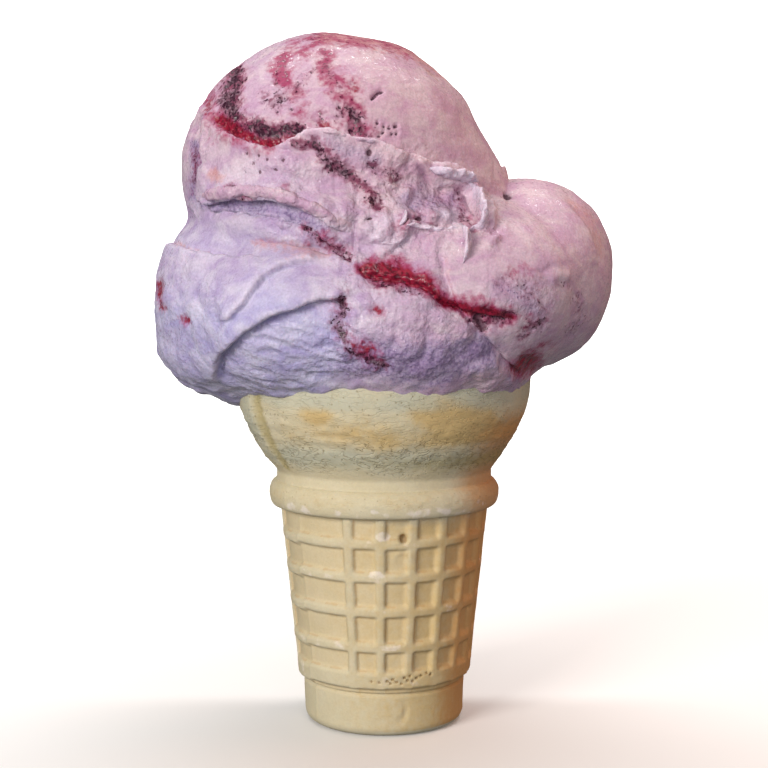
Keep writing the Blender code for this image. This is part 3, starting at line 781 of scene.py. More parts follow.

# %% [markdown]
# ### Berry ripple
#
# Crushed dark berries were folded into the tub. In the scoop they show as veins of seedy skin,
# grey-brown where they froze dry and crimson where the juice runs, with a pink stain round them.
# Each vein is a line on the card with its own half width, its edge broken by the same shaking as
# the folds. Berry sinks a little and is crumbly, and juice sinks and is wet. Peach streaks, purple
# patches and pits are drawn in the same way, and so are strokes of painted warm rim light and of
# painted shade in creases, a hollow and along the bottom. A painted image would have to be fitted
# to the skin, and here a vein stays with the fold that it runs along.

# %% Berry skins
BERRY_SKINS = {
    # side of the card: strength, and points with their half width
    FRONT: [
        (1.2, [(-30.5, 136, 1.3), (-31.8, 133, 1.7), (-32.3, 130.5, 2.0), (-31.8, 127, 2.1),
            (-30, 125.5, 1.7), (-27.5, 124.5, 1.5), (-25.5, 123.7, 1.6), (-23, 123.2, 1.7),
            (-20.5, 123.5, 1.8), (-18, 124, 1.2)]),
        (1.0, [(-18.5, 120.3, 0.5), (-14.5, 120.8, 1.1), (-12.5, 119, 1.4), (-10.5, 117, 1.4),
            (-8.5, 115.5, 1.3), (-6.5, 114, 1.0), (-4.5, 112, 0.8), (-3, 110.5, 1.2), (-1, 108, 0.7)]),
        (0.5, [(-12.5, 139, 0.9), (-12, 136.5, 1.1), (-10, 134, 0.7), (-8.5, 131.5, 0.9), (-7, 129, 1.2)]),
        (0.85, [(-7.5, 128.5, 0.9), (-5.5, 126.5, 1.4), (-6.3, 124.5, 1.3), (-3, 123.3, 1.2)]),
        (0.6, [(-3, 116.8, 1.0), (0, 115.5, 1.3), (2.5, 113.5, 1.1)]),
        (0.6, [(-22.5, 131.8, 1.3), (-21.3, 130, 2.0), (-21.8, 128, 1.4), (-25, 131, 0.9)]),
        (0.6, [(-14.5, 136, 0.8), (-16.5, 134.5, 1.0), (-18.3, 132.5, 1.0)]),
        (0.55, [(-13, 127, 1.2), (-13.5, 125, 1.4), (-10.5, 124, 1.2), (-9, 127.5, 1.0)]),
        (0.8, [(-8.7, 88.6, 1.2), (-8.3, 87, 0.8), (-10.5, 84.5, 1.1), (-9.3, 82.5, 1.0), (-8.4, 80.5, 0.9),
            (-6.7, 77.8, 0.9), (-3.5, 76.3, 0.8), (0.5, 74.3, 0.7)]),
        (0.9, [(-16.5, 103.3, 0.6), (-13.7, 101.3, 0.8), (-11, 99.8, 1.2), (-9.3, 98.7, 1.3),
            (-7.4, 97.3, 0.8)]),
        (0.7, [(3.5, 91, 0.9), (5.5, 91, 1.4), (7.5, 90.3, 1.0)]),
        (0.9, [(-3, 93, 0.7), (-0.5, 92.3, 1.0), (2, 92.3, 0.8)]),
        (0.9, [(18, 86.6, 0.8), (21, 85.6, 1.4), (24, 85.2, 1.5), (26.5, 85, 1.0)]),
        (0.9, [(19.5, 85.5, 1.1), (21, 83, 1.1), (21.5, 81.5, 0.7)]),
        (0.6, [(28.5, 81, 0.8), (30.5, 83, 1.0), (33.5, 84.5, 0.8)]),
        (0.36, [(24, 92.5, 1.2), (28, 92, 1.8), (30.5, 90, 2.0), (32.5, 87, 1.5), (33, 83, 1.2)]),
        (0.32, [(38, 92, 1.0), (40.5, 89, 1.6), (41, 85, 1.4), (39, 81.5, 1.0)]),
        (1.0, [(-32, 111.4, 0.7), (-30.2, 111.8, 0.9)]),
        (1.0, [(-28.6, 111.3, 0.8), (-26.6, 111.5, 0.8)]),
        (0.7, [(-39.5, 120, 0.6), (-38.8, 116.5, 0.8), (-39.5, 113, 0.6)]),
        (0.7, [(15.5, 111.5, 0.5), (16, 108.5, 0.6), (16.8, 105.5, 0.8), (19.3, 104, 0.5)]),
    ],
    BACK: [
        (0.9, [(-18, 128, 0.8), (-10, 131, 1.3), (0, 129, 1.6), (9, 124, 1.1), (14, 118, 0.7)]),
        (0.9, [(-26, 104, 0.8), (-18, 100, 1.4), (-8, 99, 1.1), (2, 103, 1.5), (12, 101, 0.8)]),
        (0.8, [(10, 86, 0.8), (18, 82, 1.3), (27, 80, 0.9)]),
    ],
}
print(sum(map(len, BERRY_SKINS.values())), "veins of berry skin")

# %% Juice
JUICE = {
    FRONT: [
        (1.1, [(-34.5, 126.5, 0.8), (-32.8, 125, 1.3), (-30.8, 123.6, 1.1)]),
        (0.9, [(-30.8, 123.3, 0.9), (-28.5, 122.3, 0.8), (-26, 121.5, 0.8)]),
        (1.1, [(-25.5, 121.3, 0.8), (-24, 121.3, 1.3), (-22.5, 121.6, 0.9)]),
        (0.6, [(-21.5, 122.3, 0.8), (-18, 123.2, 0.7)]),
        (0.6, [(-13.5, 125.3, 0.8), (-11.5, 124.8, 0.7)]),
        (0.5, [(-6.2, 133.3, 0.8), (-5.5, 132, 0.7)]),
        (1.0, [(-5, 95.3, 0.4), (-3, 95, 1.2), (-0.5, 94.6, 1.7), (2, 94.5, 1.7), (4, 94.1, 1.3),
            (6.5, 93.4, 0.9), (8.5, 92.3, 1.0), (10, 91, 1.0), (11.5, 89.7, 0.9), (14, 88.2, 0.9),
            (16.5, 87.3, 0.9), (18.5, 86.5, 1.0), (21.5, 86, 1.0), (24.5, 85.6, 0.9), (27, 84.8, 0.5)]),
        (0.8, [(28, 74.5, 1.0), (30, 75.5, 1.4), (31.5, 76, 1.0)]),
        (0.5, [(-37, 129.5, 0.8), (-36.3, 127, 0.6)]),
        (0.6, [(-42, 84.5, 0.6), (-41, 84, 0.5)]),
        (0.6, [(-47, 92, 0.6), (-47, 89.5, 0.5), (-46.5, 87, 0.5)]),
        (0.5, [(-2, 86.2, 0.8), (-0.5, 86, 0.6)]),
        (0.5, [(-4, 79, 0.8), (-2, 77.5, 0.9), (-6.5, 79.5, 0.7)]),
    ],
    BACK: [
        (0.9, [(-8, 127.5, 0.8), (1, 126.5, 1.2), (9, 122, 0.8)]),
        (0.9, [(-16, 98, 0.9), (-6, 97, 1.3), (3, 100.5, 0.9)]),
    ],
}
print(sum(map(len, JUICE.values())), "runs of juice")

# %% Stains
STAINS = {
    FRONT: [
        (1.0, [(-20.8, 138.8, 0.9), (-21.8, 136.8, 1.4), (-20.8, 134.6, 1.6), (-20, 133.2, 0.8)]),
        (0.8, [(-19, 139.7, 1.7), (-16, 140.3, 1.7)]),
        (0.9, [(-14, 142.5, 1.8), (-12.3, 139, 1.9), (-12, 136.5, 1.7), (-10, 134, 1.7), (-8.5, 131, 1.8),
            (-6.8, 128.5, 1.9), (-6, 125.5, 1.9), (-4.5, 123.5, 1.6)]),
        (0.7, [(-11, 143, 1.6), (-7, 142.3, 1.8), (-3, 142, 1.4), (0, 141.5, 1.3), (5, 139.5, 1.0)]),
        (0.6, [(-19, 131.5, 1.9), (-18, 129.5, 1.9), (-16, 126.5, 1.7), (-13, 124.8, 1.3)]),
        (0.6, [(-36, 131, 1.3), (-36, 128, 1.5), (-37, 124.5, 1.0)]),
        (0.6, [(-34, 123, 1.6), (-30, 121.5, 1.5), (-26, 119.5, 1.4)]),
        (0.4, [(-38.8, 119, 1.0), (-39, 115, 1.2), (-39.8, 111, 1.0)]),
        (0.5, [(26, 94.3, 1.2), (28.5, 94.8, 1.2), (30.5, 94.5, 1.2)]),
        (0.5, [(-19.5, 112.5, 0.7), (-19, 110.5, 0.6)]),
        (0.6, [(-16, 103, 1.5), (-11, 100.5, 2.0), (-7.5, 98, 1.6)]),
        (0.8, [(-4, 95, 1.9), (0, 94.2, 2.1), (4, 93.8, 1.9), (9, 92, 1.7), (12, 89.5, 1.6), (17, 87.2, 1.6),
            (22, 86, 2.0), (27, 85, 1.4)]),
        (0.6, [(-9, 88, 1.5), (-10, 84, 1.6), (-8.5, 81, 1.6), (-5.5, 78, 1.8), (-1, 76, 1.6)]),
        (0.4, [(2, 103.5, 1.6), (5, 105, 1.5), (9, 105, 1.3)]),
        (0.6, [(27, 76, 1.2), (31, 77, 1.4), (35, 79, 1.0)]),
        (0.5, [(30, 84, 1.4), (34, 85, 1.2)]),
        (0.5, [(17.5, 106, 1.0), (19, 103.8, 0.9)]),
    ],
    BACK: [
        (0.7, [(-12, 130, 2.2), (0, 128, 2.6), (10, 122.5, 2.0)]),
        (0.7, [(-22, 101, 2.2), (-8, 98.5, 2.4), (8, 102, 2.2)]),
        (0.5, [(10, 85, 2.0), (26, 80.5, 1.8)]),
    ],
}
print(sum(map(len, STAINS.values())), "stains")

# %% Peach streaks, purple patches, and painted light and shade
PEACH_STREAKS_AND_PAINTED_LIGHT = {
    FRONT: [
        # Along the top of the dome: partly a brownish band of its own, partly painted shade that darkens the
        # top.
        (1.3, [(-12, 143.3, 1.6), (-3, 143.3, 2.0), (4, 141.6, 1.8), (9.5, 138.8, 1.6), (15, 134.5, 1.2)]),
        (0.9, [(-34.8, 114.8, 1.2), (-34, 114.2, 1.1)]),
        (0.72, [(-26.5, 100.2, 1.3), (-21, 99.4, 2.1), (-15.5, 98.4, 1.9), (-11.5, 97.4, 1.0)]),
        (0.5, [(-16, 108, 0.8), (-13, 107, 1.0), (-10.5, 106, 1.0), (-7, 104.5, 0.8)]),
        (0.6, [(-46, 101, 0.7), (-40.5, 99.5, 0.6), (-36.5, 98.4, 0.5)]),
        (0.5, [(0.5, 120.3, 0.4), (3, 119.3, 0.5), (6, 117.4, 0.5), (8, 115.8, 0.5), (10, 113.5, 0.4)]),
        # Painted warm rim light on the upper right of the right bulge.
        (0.6, [(38.5, 109.5, 0.9), (42, 106.5, 1.3), (44.5, 102.5, 1.4), (45.8, 98, 1.2)]),
        # Painted shadow line along the right crease.
        (0.5, [(13, 97, 0.5), (13.8, 92, 0.6), (16.5, 87.5, 0.5)]),
        (0.5, [(3.5, 104.5, 0.6), (7, 105.3, 0.7)]),
        # Painted warm rim light down the right-hand edge of the top scoop.
        (0.5, [(14, 134.5, 0.9), (20, 128, 1.2), (24, 121, 1.2), (26, 114, 1.4)]),
    ],
}
PURPLE_AND_PAINTED_SHADE = {
    FRONT: [
        # Under the slab's edge: partly a purple band of its own, partly painted shade under the overhang.
        (0.8, [(-38, 108.5, 1.0), (-28.5, 108.5, 1.5), (-21, 107.3, 1.6), (-15.5, 104.8, 1.6),
            (-12.5, 102.5, 1.5)]),
        # Painted shade in the hollow under the ribbon.
        (0.6, [(5.5, 109.8, 2.4), (10, 108.5, 2.8), (14.5, 109, 2.0)]),
        (0.5, [(-14, 121, 1.5), (-8, 119, 1.8), (-2, 117.5, 1.4)]),
        # Painted shade in the crease along the left edge.
        (0.9, [(-39.3, 121, 0.9), (-38.8, 116, 1.1), (-40, 110, 0.9)]),
        (0.5, [(-45, 82, 2.2), (-42.5, 78, 2.2), (-39.5, 74, 1.6)]),
        (0.6, [(27, 73, 1.6), (26.5, 70.5, 1.4)]),
        (0.4, [(3, 90.5, 2.0), (8, 89, 2.4), (12, 85, 2.0)]),
        (0.5, [(24, 91, 2.0), (29, 90, 2.6), (32, 86, 2.2)]),
        # Painted shade along the bottom of the ice cream.
        (1.0, [(-7, 76, 2.6), (-2, 76, 3.2), (5, 75, 3.6), (13, 75.5, 3.6), (20, 78, 3.0)]),
    ],
    BACK: [
        (0.5, [(-30, 110, 2.5), (-10, 107, 2.5), (12, 109, 2.5)]),
    ],
}
print(sum(map(len, PEACH_STREAKS_AND_PAINTED_LIGHT.values())), "peach streaks,",
      sum(map(len, PURPLE_AND_PAINTED_SHADE.values())), "purple shades")

# %% Pits
BUBBLES = [
    (-1.5, 125.5), (-0.2, 124.7), (0.9, 124.3), (-0.5, 123.5), (-1.2, 122.7), (1.5, 122.9), (2.6, 123.1),
    (2.2, 124.6), (-28.5, 118.5), (-26, 118.1), (-24, 117.4), (-21, 117.6), (-29, 115.2), (-25.5, 115.4),
    (-22.5, 115.6), (-27, 116.8), (-23, 133.8), (-24.5, 131.5), (-19.2, 128.3), (-9.5, 128.8),
]
PITS = {
    FRONT: [
        *((0.85, [(x, z, 0.31), (x + 0.15, z, 0.31)]) for x, z in BUBBLES),
        (1.0, [(-2.3, 130.2, 0.35), (-0.2, 131.3, 0.3)]),
        (0.9, [(-3.2, 119, 0.6), (-2.9, 119.2, 0.5)]),
        (0.9, [(-3.1, 105.5, 0.4), (-2.7, 105.6, 0.4)]),
        (0.9, [(3.4, 104.4, 0.35), (4.7, 105.4, 0.5)]),
        (0.9, [(6.8, 105.4, 0.5), (7.4, 105.4, 0.4)]),
        (1.0, [(25.7, 110.6, 0.5), (26.1, 110.3, 0.5)]),
        (0.9, [(-9.2, 88.6, 0.6), (-8.9, 87.6, 0.6)]),
        (0.9, [(20.2, 84.8, 0.7), (21, 82.6, 0.6)]),
    ],
}
print(len(PITS[FRONT]), "pits")


# %% Where each vein, stain and pit is on the skin
def vein(strokes, grow=1.0, ragged_edge=0.45):
    """How strongly any of the drawn strokes covers each point: 1 inside, half at its half width."""
    total = np.zeros(len(cream))
    for side, drawn in strokes.items():
        spots = on_card(cream, side) + 0.5 * shake
        for strength, line in drawn:
            away, _, _, width, _ = line_distance(spots, line)
            frayed = away + ragged_edge * width * fray
            cover = strength * seen_from(side, 5.0) * (1 - smooth(frayed / (1.9 * width * grow)))
            total = np.maximum(total, cover)
    return total


fray = lumps(cream, 1.3, 71) + 0.8 * lumps(cream, 3.0, 72)
patchy = np.clip(0.88 + 0.65 * lumps(cream, 3.2, 73), 0.15, 1.15)
clouded = np.clip(0.85 + 0.7 * lumps(cream, 2.4, 74), 0.3, 1.1)
juice = vein(JUICE, 1.1)
berry = vein(BERRY_SKINS, 1.15) * patchy * (1 - 0.6 * np.clip(juice, 0, 1))
stain = np.maximum(vein(STAINS, 1.35) * clouded, np.maximum(0.55 * vein(BERRY_SKINS, 1.6), vein(JUICE, 2.1)))
stain = np.clip(stain, 0, 1)
peach, purple = vein(PEACH_STREAKS_AND_PAINTED_LIGHT, 1.2), vein(PURPLE_AND_PAINTED_SHADE, 1.35)
pits = vein(PITS, 1.0, 0.1)
print("berry covers", round(100 * float((berry > 0.5).mean()), 1), "% and juice",
      round(100 * float((juice > 0.5).mean()), 1), "% of the skin")

# %% [markdown]
# Round the folds there are also thin raised rims, low mounds and narrow furrows. A fold has a high
# side and a low side, which these haven't, so each is a soft ridge along a line of its own. A
# height over 0 stands out and one under 0 sinks.

# %% Thin ridges and rims
RIDGES = [
    # height, and points with their half width
    (0.4, [(-19.5, 120.9, 0.5), (-17, 122.3, 0.5), (-14, 122.9, 0.55), (-11, 122.8, 0.5), (-8, 121.9, 0.5)]),
    (1.7, [(17, 112.8, 0.6), (18.6, 110.7, 0.65), (19.8, 108, 0.7), (20.3, 105.5, 0.7), (20, 103.7, 0.6)]),
    (0.5, [(10.5, 102.7, 0.5), (13.5, 102, 0.5), (15.6, 103.3, 0.5), (16.9, 102.6, 0.55), (17.4, 100.5, 0.5),
        (17.2, 97.5, 0.4)]),
    (1.5, [(9, 115.9, 0.9), (12, 114.9, 1.2), (15, 114.3, 1.2), (17.5, 113.5, 1.0), (19.5, 112.8, 0.8)]),
    (0.45, [(34.5, 92.5, 0.9), (37, 94, 1.1), (39, 93.3, 1.0)]),
    (0.35, [(-33, 90.5, 0.8), (-30.5, 91.8, 0.9), (-26.5, 92.8, 0.8)]),
    (-0.35, [(32.5, 94, 0.5), (34, 95, 0.5), (35.5, 96, 0.4)]),
    (-0.5, [(-21, 120, 0.35), (-18.5, 119.5, 0.4), (-16.5, 120, 0.4), (-14.5, 120.5, 0.35)]),
    (-0.6, [(-28.5, 107, 0.3), (-25, 106.4, 0.35), (-21.5, 105.9, 0.35), (-19, 105.1, 0.4),
        (-16, 105.3, 0.3)]),
    (-1.1, [(5, 110.3, 1.8), (9, 109.3, 2.3), (13, 109.3, 2.2), (16, 108.3, 1.4)]),
    (1.3, [(-1.5, 103.5, 2.6), (0.8, 101.5, 3.0), (0.3, 99.5, 2.4)]),
    (0.9, [(6.5, 101.5, 2.6), (12.5, 99.5, 3.0)]),
    (0.9, [(22, 109.5, 0.9), (22.8, 106.5, 1.1), (22.2, 103.8, 0.9)]),
    (-1.2, [(-37, 107.9, 1.6), (-29, 108.2, 1.8), (-22, 107, 1.8), (-16, 104.8, 1.8), (-12.5, 102, 1.6)]),
    (0.9, [(-36, 112, 2.0), (-29, 112.5, 2.2), (-22, 111.8, 2.2), (-15, 109.5, 2.0), (-10, 106.5, 1.8)]),
    (0.5, [(-3, 113.5, 1.0), (2, 112.5, 1.2), (6, 110.5, 0.8)]),
    (1.7, [(8.5, 106.2, 1.1), (12, 105.8, 1.5), (14.3, 105.6, 1.0)]),
    (0.5, [(-36.5, 116.5, 1.0), (-37, 113.5, 1.2), (-35.5, 111.5, 1.0)]),
]
ridges = np.zeros(len(cream))
spots = on_card(cream, FRONT) + 0.35 * shake
for high, line in RIDGES:
    away, _, along, width, _ = line_distance(spots, line)
    ridges += ends(along, 0.15) * seen_from(FRONT) * high * bell(away, width)
print(len(RIDGES), "ridges")

# %% [markdown]
# Berry skins are crumbs of about a millimetre that stand up out of a shallow groove. The pits are
# burst air bubbles. All relief goes along the skin's normal, so steep places keep their detail,
# and the slide of the folds comes on top.

# %% Build the ice cream
crumbs = berry * (0.55 * lumps(cream, 0.95, 81) + 0.3 * lumps(cream, 1.9, 82) - 0.35)
wet_hollow = -0.65 * juice + 0.25 * juice * lumps(cream, 1.8, 83)
flap = 1.3 * zone(FRONT, [(23.5, 73, 5.5, 3.8, 1.0)])
relief = (lift + ridges + swell + tears + fine_tears + ripples + scrapes + ragged + crumbs + wet_hollow
          + flap - 1.1 * pits)
skin = cream + normals * relief[:, None] + slide
ice_cream = add_piece("ice_cream_skin", skin, cream_faces, "ice_cream")
x, y, z = skin.T
# Lilac lower down and to the left: partly the ice cream's own cooler colour, partly painted cool light from
# the lower left. It is weaker at the back.
chill = smooth((124 - z) / 42) * (0.2 + 0.8 * smooth((22 - x) / 60))
chill *= 1 - 0.3 * smooth((z - 82) / 8) * smooth((102 - z) / 6) * smooth((-18 - x) / 12)
chill *= 1 - 0.4 * smooth(y / 25)
chill += 0.22 * smooth((4 - x) / 30) + 0.3 * rippled
store(ice_cream, berry=berry, juice=juice, stain=stain, peach=peach, purple=purple, pits=pits, thin=thin,
      torn=np.clip(torn + 0.5 * rippled, 0, 1), chill=np.clip(chill, 0, 1))
print("relief from", round(float(relief.min()), 2), "to", round(float(relief.max()), 2), "mm")

# %% [markdown]
# Where the spade pulled away, thin blades of ice cream stand up from the skin. Each is a flat tube
# along a few points on the card: it is swept along the skin, thin across and tall along the skin's
# normal, it narrows to nothing at both ends, and small lumps make its edge ragged.

# %% Torn blades
BLADES = {
    # points on the card with half thickness and height out of the skin
    "shelf under the scoop": [(9.5, 116.2, 0.6, 0.9), (12, 115.3, 0.9, 1.5), (15, 114.8, 0.9, 1.7),
        (17.5, 113.9, 0.8, 1.7), (19.8, 112.9, 0.6, 1.2)],
    "curled blade": [(17.6, 113.2, 0.5, 1.2), (19, 111.6, 0.5, 2.0), (20.2, 109.3, 0.55, 2.4),
        (20.9, 106.8, 0.6, 2.4), (20.9, 104.8, 0.6, 2.1), (19.9, 103.4, 0.5, 1.6), (17.8, 103.3, 0.4, 1.1)],
    "side of the flap": [(16.0, 104, 0.5, 1.0), (17.3, 102.6, 0.55, 1.8), (17.5, 100.3, 0.5, 2.0),
        (17.2, 98, 0.45, 1.6), (16.7, 96.2, 0.4, 0.8)],
    "top of the flap": [(4.5, 104.3, 0.4, 0.7), (7, 104.1, 0.5, 1.1), (10, 103.3, 0.5, 1.2),
        (13, 102.7, 0.5, 1.2), (15.5, 103.6, 0.4, 1.0)],
    "spike on the lump": [(3.4, 104.2, 0.7, 1.2), (4.4, 105.6, 0.6, 1.6), (4.6, 107.3, 0.35, 1.2)],
    "rim of the slab": [(-38.5, 110.2, 0.9, 0.6), (-35, 110.6, 1.1, 0.9), (-31, 111.2, 1.1, 0.8),
        (-26.5, 111, 1.2, 0.9), (-22.5, 110.7, 1.2, 1.0), (-18.5, 109.4, 1.1, 1.0), (-14, 107.3, 1.0, 0.9),
        (-10, 105, 0.8, 0.6)],
    "lip": [(-20.8, 120.6, 0.3, 0.6), (-18, 122.1, 0.4, 0.9), (-15, 123.4, 0.4, 1.0),
        (-11.5, 123.4, 0.4, 1.0), (-8.5, 122.4, 0.4, 0.9), (-4.5, 121.7, 0.35, 0.7), (-1, 121.2, 0.3, 0.5)],
}
BLADE_STEP, BLADE_TIP, TUBE_SIDES = 0.3, 2.0, 16
around_tube = np.linspace(0, 2 * math.pi, TUBE_SIDES, endpoint=False)[:, None]
front_points = np.flatnonzero(skin[:, 1] < -2)
front_spots = on_card(skin[front_points], FRONT)
blade_points, blade_faces = [], []
for line in BLADES.values():
    line = np.array(line)
    _, starts = line_run(line)
    steps = np.linspace(0, starts[-1], max(12, int(starts[-1] / BLADE_STEP)))
    track = np.stack([np.interp(steps, starts, line[:, k]) for k in range(4)], axis=1)
    for _ in range(3):
        track[1:-1] = (track[:-2] + 2 * track[1:-1] + track[2:]) / 4
    nearest = [front_points[np.hypot(*(front_spots - place).T).argmin()] for place in track[:, :2]]
    feet, out = skin[nearest], normals[nearest]
    for _ in range(6):
        feet[1:-1] = (feet[:-2] + feet[1:-1] + feet[2:]) / 3
        out[1:-1] = (out[:-2] + out[1:-1] + out[2:]) / 3
    across = np.cross(np.gradient(feet, axis=0), out)
    across /= np.linalg.norm(across, axis=1, keepdims=True)
    narrow = np.sqrt(np.clip(np.minimum(steps, steps[-1] - steps) / BLADE_TIP, 0.02, 1))
    thick, tall = track[:, 2] * narrow, track[:, 3] * narrow
    tube = (feet[:, None] + np.cos(around_tube) * (across * thick[:, None])[:, None]
            + np.sin(around_tube) * (out * tall[:, None])[:, None]).reshape(-1, 3)
    centre = np.repeat(feet, TUBE_SIDES, axis=0)
    rough = 0.45 * lumps(tube, 2.4, 91) + 0.35 * lumps(tube, 1.2, 92)
    blade_faces.append(ring_faces(len(steps), TUBE_SIDES, sum(map(len, blade_points))))
    blade_points.append(tube + (tube - centre) * rough[:, None])
blades, blade_faces = np.concatenate(blade_points), np.concatenate(blade_faces)
torn_blades = add_piece("torn_blades", blades, blade_faces, "")
store(torn_blades, torn=np.full(len(blades), 0.9), chill=np.full(len(blades), 0.2),
      thin=smooth((blades[:, 0] + 10) / 14))
print(len(BLADES), "blades with", 2 * len(blade_faces), "triangles")

# %% [markdown]
# ### Finish: fruit-ripple ice cream
#
# Ice cream is ice, fat and air whipped together, so light goes a little way in and comes out
# softer: that is subsurface scattering, over a millimetre or two. Its surface is nearly matt with
# a wet glint on every crystal that has begun to melt. Its colour goes from warm pink at the top to
# cool lilac lower down, which is partly the milk's own colour and partly painted cool light on the
# lower left. The marks of the points say where each shade is, and noise of several sizes breaks
# their edges into grains.

# %% Fruit-ripple ice cream
cream_finish, tree, shader = new_finish("fruit ripple ice cream")
place = node(tree, "TexCoord", {}, {})["Object"]
marks = marks_of(tree, "berry juice stain peach purple pits torn chill thin")
# Ice crystals are 0.05 mm, far too fine to show, so the grain is drawn at 0.4 mm.
grain = noise(tree, place, 0.4, 2.0)
# Crumbs of berry skin, about 0.9 mm.
crumb = noise(tree, place, 0.9, 3.0)
# Seeds and scraps of skin, about half a millimetre: the smallest that still shows as a speck.
specks = noise(tree, place, 0.62, 1.0)
# Uneven mixing of milk and fruit, about 4 mm, flattened a little as the ice cream was pressed on.
spread = node(tree, "VectorMath", {"operation": "MULTIPLY"}, {0: place, 1: (0.85, 0.85, 1.25)})[0]
mixing = noise(tree, spread, 4.0, 4.0, 0.6)
blend = ramp(tree, mixing, 0.28, 0.72, curve="SMOOTHSTEP")
warm = mix(tree, blend, linear("c096ac"), linear("cfb4ba"))
cold = mix(tree, blend, linear("a49cc6"), linear("c5c1d8"))
# The skins range from grey-brown to wine red along a vein, and juice is darkest where it is thick.
grit = ramp(tree, grain, 0.38, 0.62, curve="SMOOTHSTEP")
winy = ramp(tree, mixing, 0.38, 0.54, curve="SMOOTHSTEP")
dry_skin = mix(tree, winy, mix(tree, grit, linear("46303c"), linear("74666e")), linear("642040"))
shallow = ramp(tree, crumb, 0.30, 0.66, curve="SMOOTHSTEP")
wet_juice = mix(tree, shallow, linear("4e081c"), linear("941b36"))
CREAM_LAYERS = [
    # mark, colour, how much it covers, what breaks it up, how much, and where cover starts and ends
    ("thin", linear("dfd3e2"), 0.62, crumb, 0.8, 0.15, 0.95),
    # The purple mark also carries painted shade in creases, a hollow and along the bottom.
    ("purple", linear("8e80aa"), 0.58, mixing, 0.9, 0.15, 0.90),
    ("purple", linear("66507e"), 0.45, specks, 2.4, 0.55, 1.20),
    # The peach mark also carries painted warm rim light, a painted shadow line and painted shade on the top.
    ("peach", linear("c3867f"), 0.68, crumb, 0.8, 0.25, 0.95),
    ("stain", linear("9a2d58"), 0.95, crumb, 1.0, 0.08, 0.90),
    ("stain", linear("5e1636"), 0.75, specks, 2.6, 0.95, 1.35),
    ("juice", wet_juice, 1.00, crumb, 1.1, 0.25, 0.70),
    ("berry", dry_skin, 0.80, crumb, 1.5, 0.20, 0.95),
    ("berry", linear("341226"), 0.90, specks, 3.2, 0.75, 1.15),
    ("pits", linear("5a3644"), 0.85, grain, 0.5, 0.30, 0.60),
]
# Warm pink to lilac: partly the ice cream's colour, partly painted cool light on the lower left.
colour = mix(tree, marks["chill"], warm, cold)
for mark, *layer in CREAM_LAYERS:
    colour = paint(tree, colour, marks[mark], *layer)
speckle = ramp(tree, grain, 0.3, 0.7, 0.88, 1.06)
# Crystals that melt glint here and there, and torn ice cream has more of them.
wetness = maths(tree, "MULTIPLY_ADD", marks["torn"], 0.08, specks)
melting = ramp(tree, wetness, 0.57, 0.63, 0.62, 0.14, "SMOOTHSTEP")
# Torn ice cream is crumbly, pressed ice cream only a third as much.
crumbly = maths(tree, "MULTIPLY_ADD", marks["torn"], 0.7, 0.3)
relief_bump = bump(tree, maths(tree, "MULTIPLY", crumb, crumbly), 1.0, 0.5)
relief_bump = bump(tree, maths(tree, "MULTIPLY", specks, crumbly), 1.0, 0.2, relief_bump)
plug(tree, shader, {
    "Base Color": node(tree, "VectorMath", {"operation": "SCALE"}, {0: colour, 3: speckle})[0],
    "Roughness": node(tree, "Mix", {"data_type": "FLOAT"}, {0: marks["juice"], 2: melting, 3: 0.16})[0],
    "IOR": 1.36,
    "Specular IOR Level": 0.5,
    "Coat Weight": 0.06,
    "Coat Roughness": 0.25,
    "Subsurface Weight": 0.18,
    "Subsurface Radius": (1.0, 0.55, 0.6),
    "Subsurface Scale": 1.5 * MM,
    "Normal": relief_bump,
})
ice_cream.data.materials.append(cream_finish)
torn_blades.data.materials.append(cream_finish)
print(cream_finish.name, "has", len(tree.nodes), "nodes")

# %% [markdown]
# ## Floor, light and camera
#
# A pale floor that curves up into a backdrop has no horizon line. The key light is a large soft
# box high on the left, in front. A weak box overhead, a weak warm one on the right, a fill from
# the front and a little light from all round keep the far side readable, and leave it clearly
# darker. The last box shines on the backdrop alone, so that it stays white.

# %% Floor and backdrop
FLOOR_HALF_WIDTH, FLOOR_FRONT, WALL_BACK, WALL_HEIGHT, BEND = 2200.0, -1500.0, 1500.0, 1900.0, 700.0
bend = np.radians(np.linspace(0, 90, 25))
run = [(FLOOR_FRONT, 0.0), *zip(WALL_BACK - BEND + BEND * np.sin(bend), BEND - BEND * np.cos(bend)),
       (WALL_BACK, WALL_HEIGHT)]
floor_points = [(x * MM, y * MM, z * MM) for y, z in run for x in (-FLOOR_HALF_WIDTH, FLOOR_HALF_WIDTH)]
floor_faces = [(2 * k, 2 * k + 1, 2 * k + 3, 2 * k + 2) for k in range(len(run) - 1)]
floor_mesh = bpy.data.meshes.new("floor")
floor_mesh.from_pydata(floor_points, [], floor_faces)
floor_mesh.shade_smooth()
floor = new_object("floor", floor_mesh)
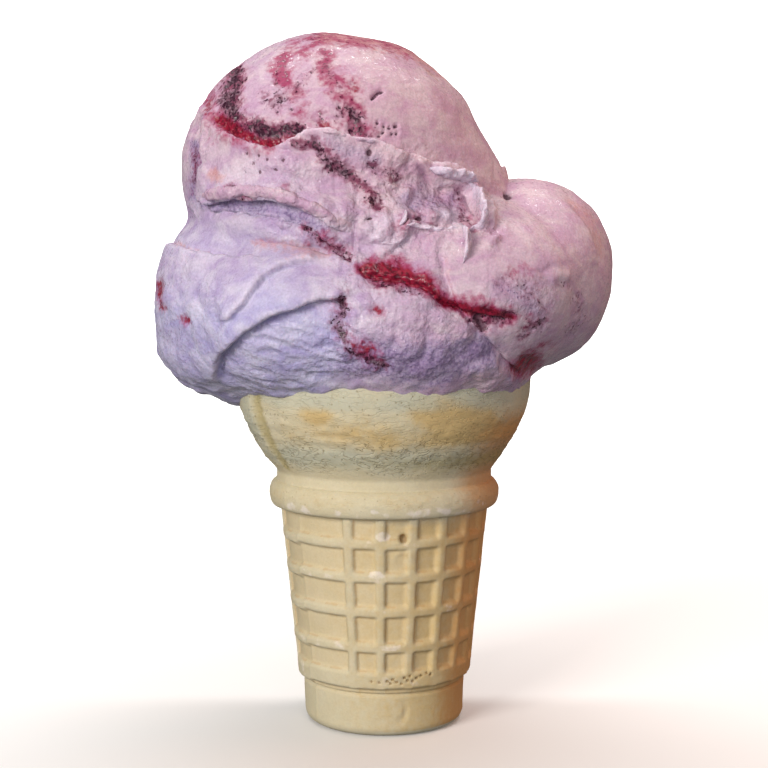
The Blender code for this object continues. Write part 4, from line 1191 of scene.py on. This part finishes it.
# The floor is seen but throws no light back, so that the underside of the ice cream stays dark.
floor.visible_diffuse = False
floor.visible_glossy = False
floor_finish, tree, shader = new_finish("matt white paper")
plug(tree, shader, {"Base Color": linear("f2f1ef"), "Roughness": 0.9, "Specular IOR Level": 0.2})
floor_mesh.materials.append(floor_finish)
print("floor", 2 * FLOOR_HALF_WIDTH, "mm wide")

# %% Lights
LIGHTS = {
    # name: place, what it looks at, width, height, watts, colour
    "key soft box": ((-440, -590, 310), (0, 0, 85), 320, 280, 5.0, "fff9f4"),
    "top soft box": ((60, -200, 720), (0, 0, 85), 420, 420, 0.7, "fff4ec"),
    "warm side light": ((440, 120, 330), (0, 0, 85), 460, 420, 0.8, "ffb284"),
    "front fill": ((60, -700, 170), (0, 0, 85), 460, 300, 1.65, "f2ecf4"),
    "backdrop wash": ((0, 500, 1500), (0, 1500, 900), 1600, 600, 74.0, "ffffff"),
}
for name, (stand, aim, width, tall, watts, tint) in LIGHTS.items():
    lamp = bpy.data.lights.new(name, "AREA")
    lamp.shape = "RECTANGLE"
    lamp.size, lamp.size_y = width * MM, tall * MM
    lamp.energy, lamp.color = watts, linear(tint)[:3]
    light = new_object(name, lamp, stand)
    light.rotation_euler = Vector(np.subtract(aim, stand)).to_track_quat("-Z", "Y").to_euler()
surround = bpy.data.worlds.new("studio")
surround.use_nodes = True
background = surround.node_tree.nodes["Background"]
plug(surround.node_tree, background, {"Color": linear("f4f4f6"), "Strength": 0.18})
bpy.context.scene.world = surround
bpy.context.scene.view_settings.view_transform = "Standard"
print(len(LIGHTS), "lights")

# %% [markdown]
# The camera stands a little under a third of a metre in front, about level with the middle of the
# ice cream, and looks slightly down, as a person does who holds the cone out in front of them.

# %% Camera
CAMERA_PLACE, CAMERA_TARGET, LENS = (0.0, -320.0, 97.0), (0.0, 0.0, 70.9), 71.5
camera_data = bpy.data.cameras.new("camera")
camera_data.lens, camera_data.sensor_width = LENS, 36.0
camera_data.clip_start, camera_data.clip_end = 0.02, 20.0
camera = new_object("camera", camera_data, CAMERA_PLACE)
pitch = math.atan2(CAMERA_TARGET[2] - CAMERA_PLACE[2], CAMERA_TARGET[1] - CAMERA_PLACE[1])
camera.rotation_euler = (math.radians(90) + pitch, 0.0, 0.0)
bpy.context.scene.camera = camera
print("camera looks down", round(-math.degrees(pitch), 2), "degrees")
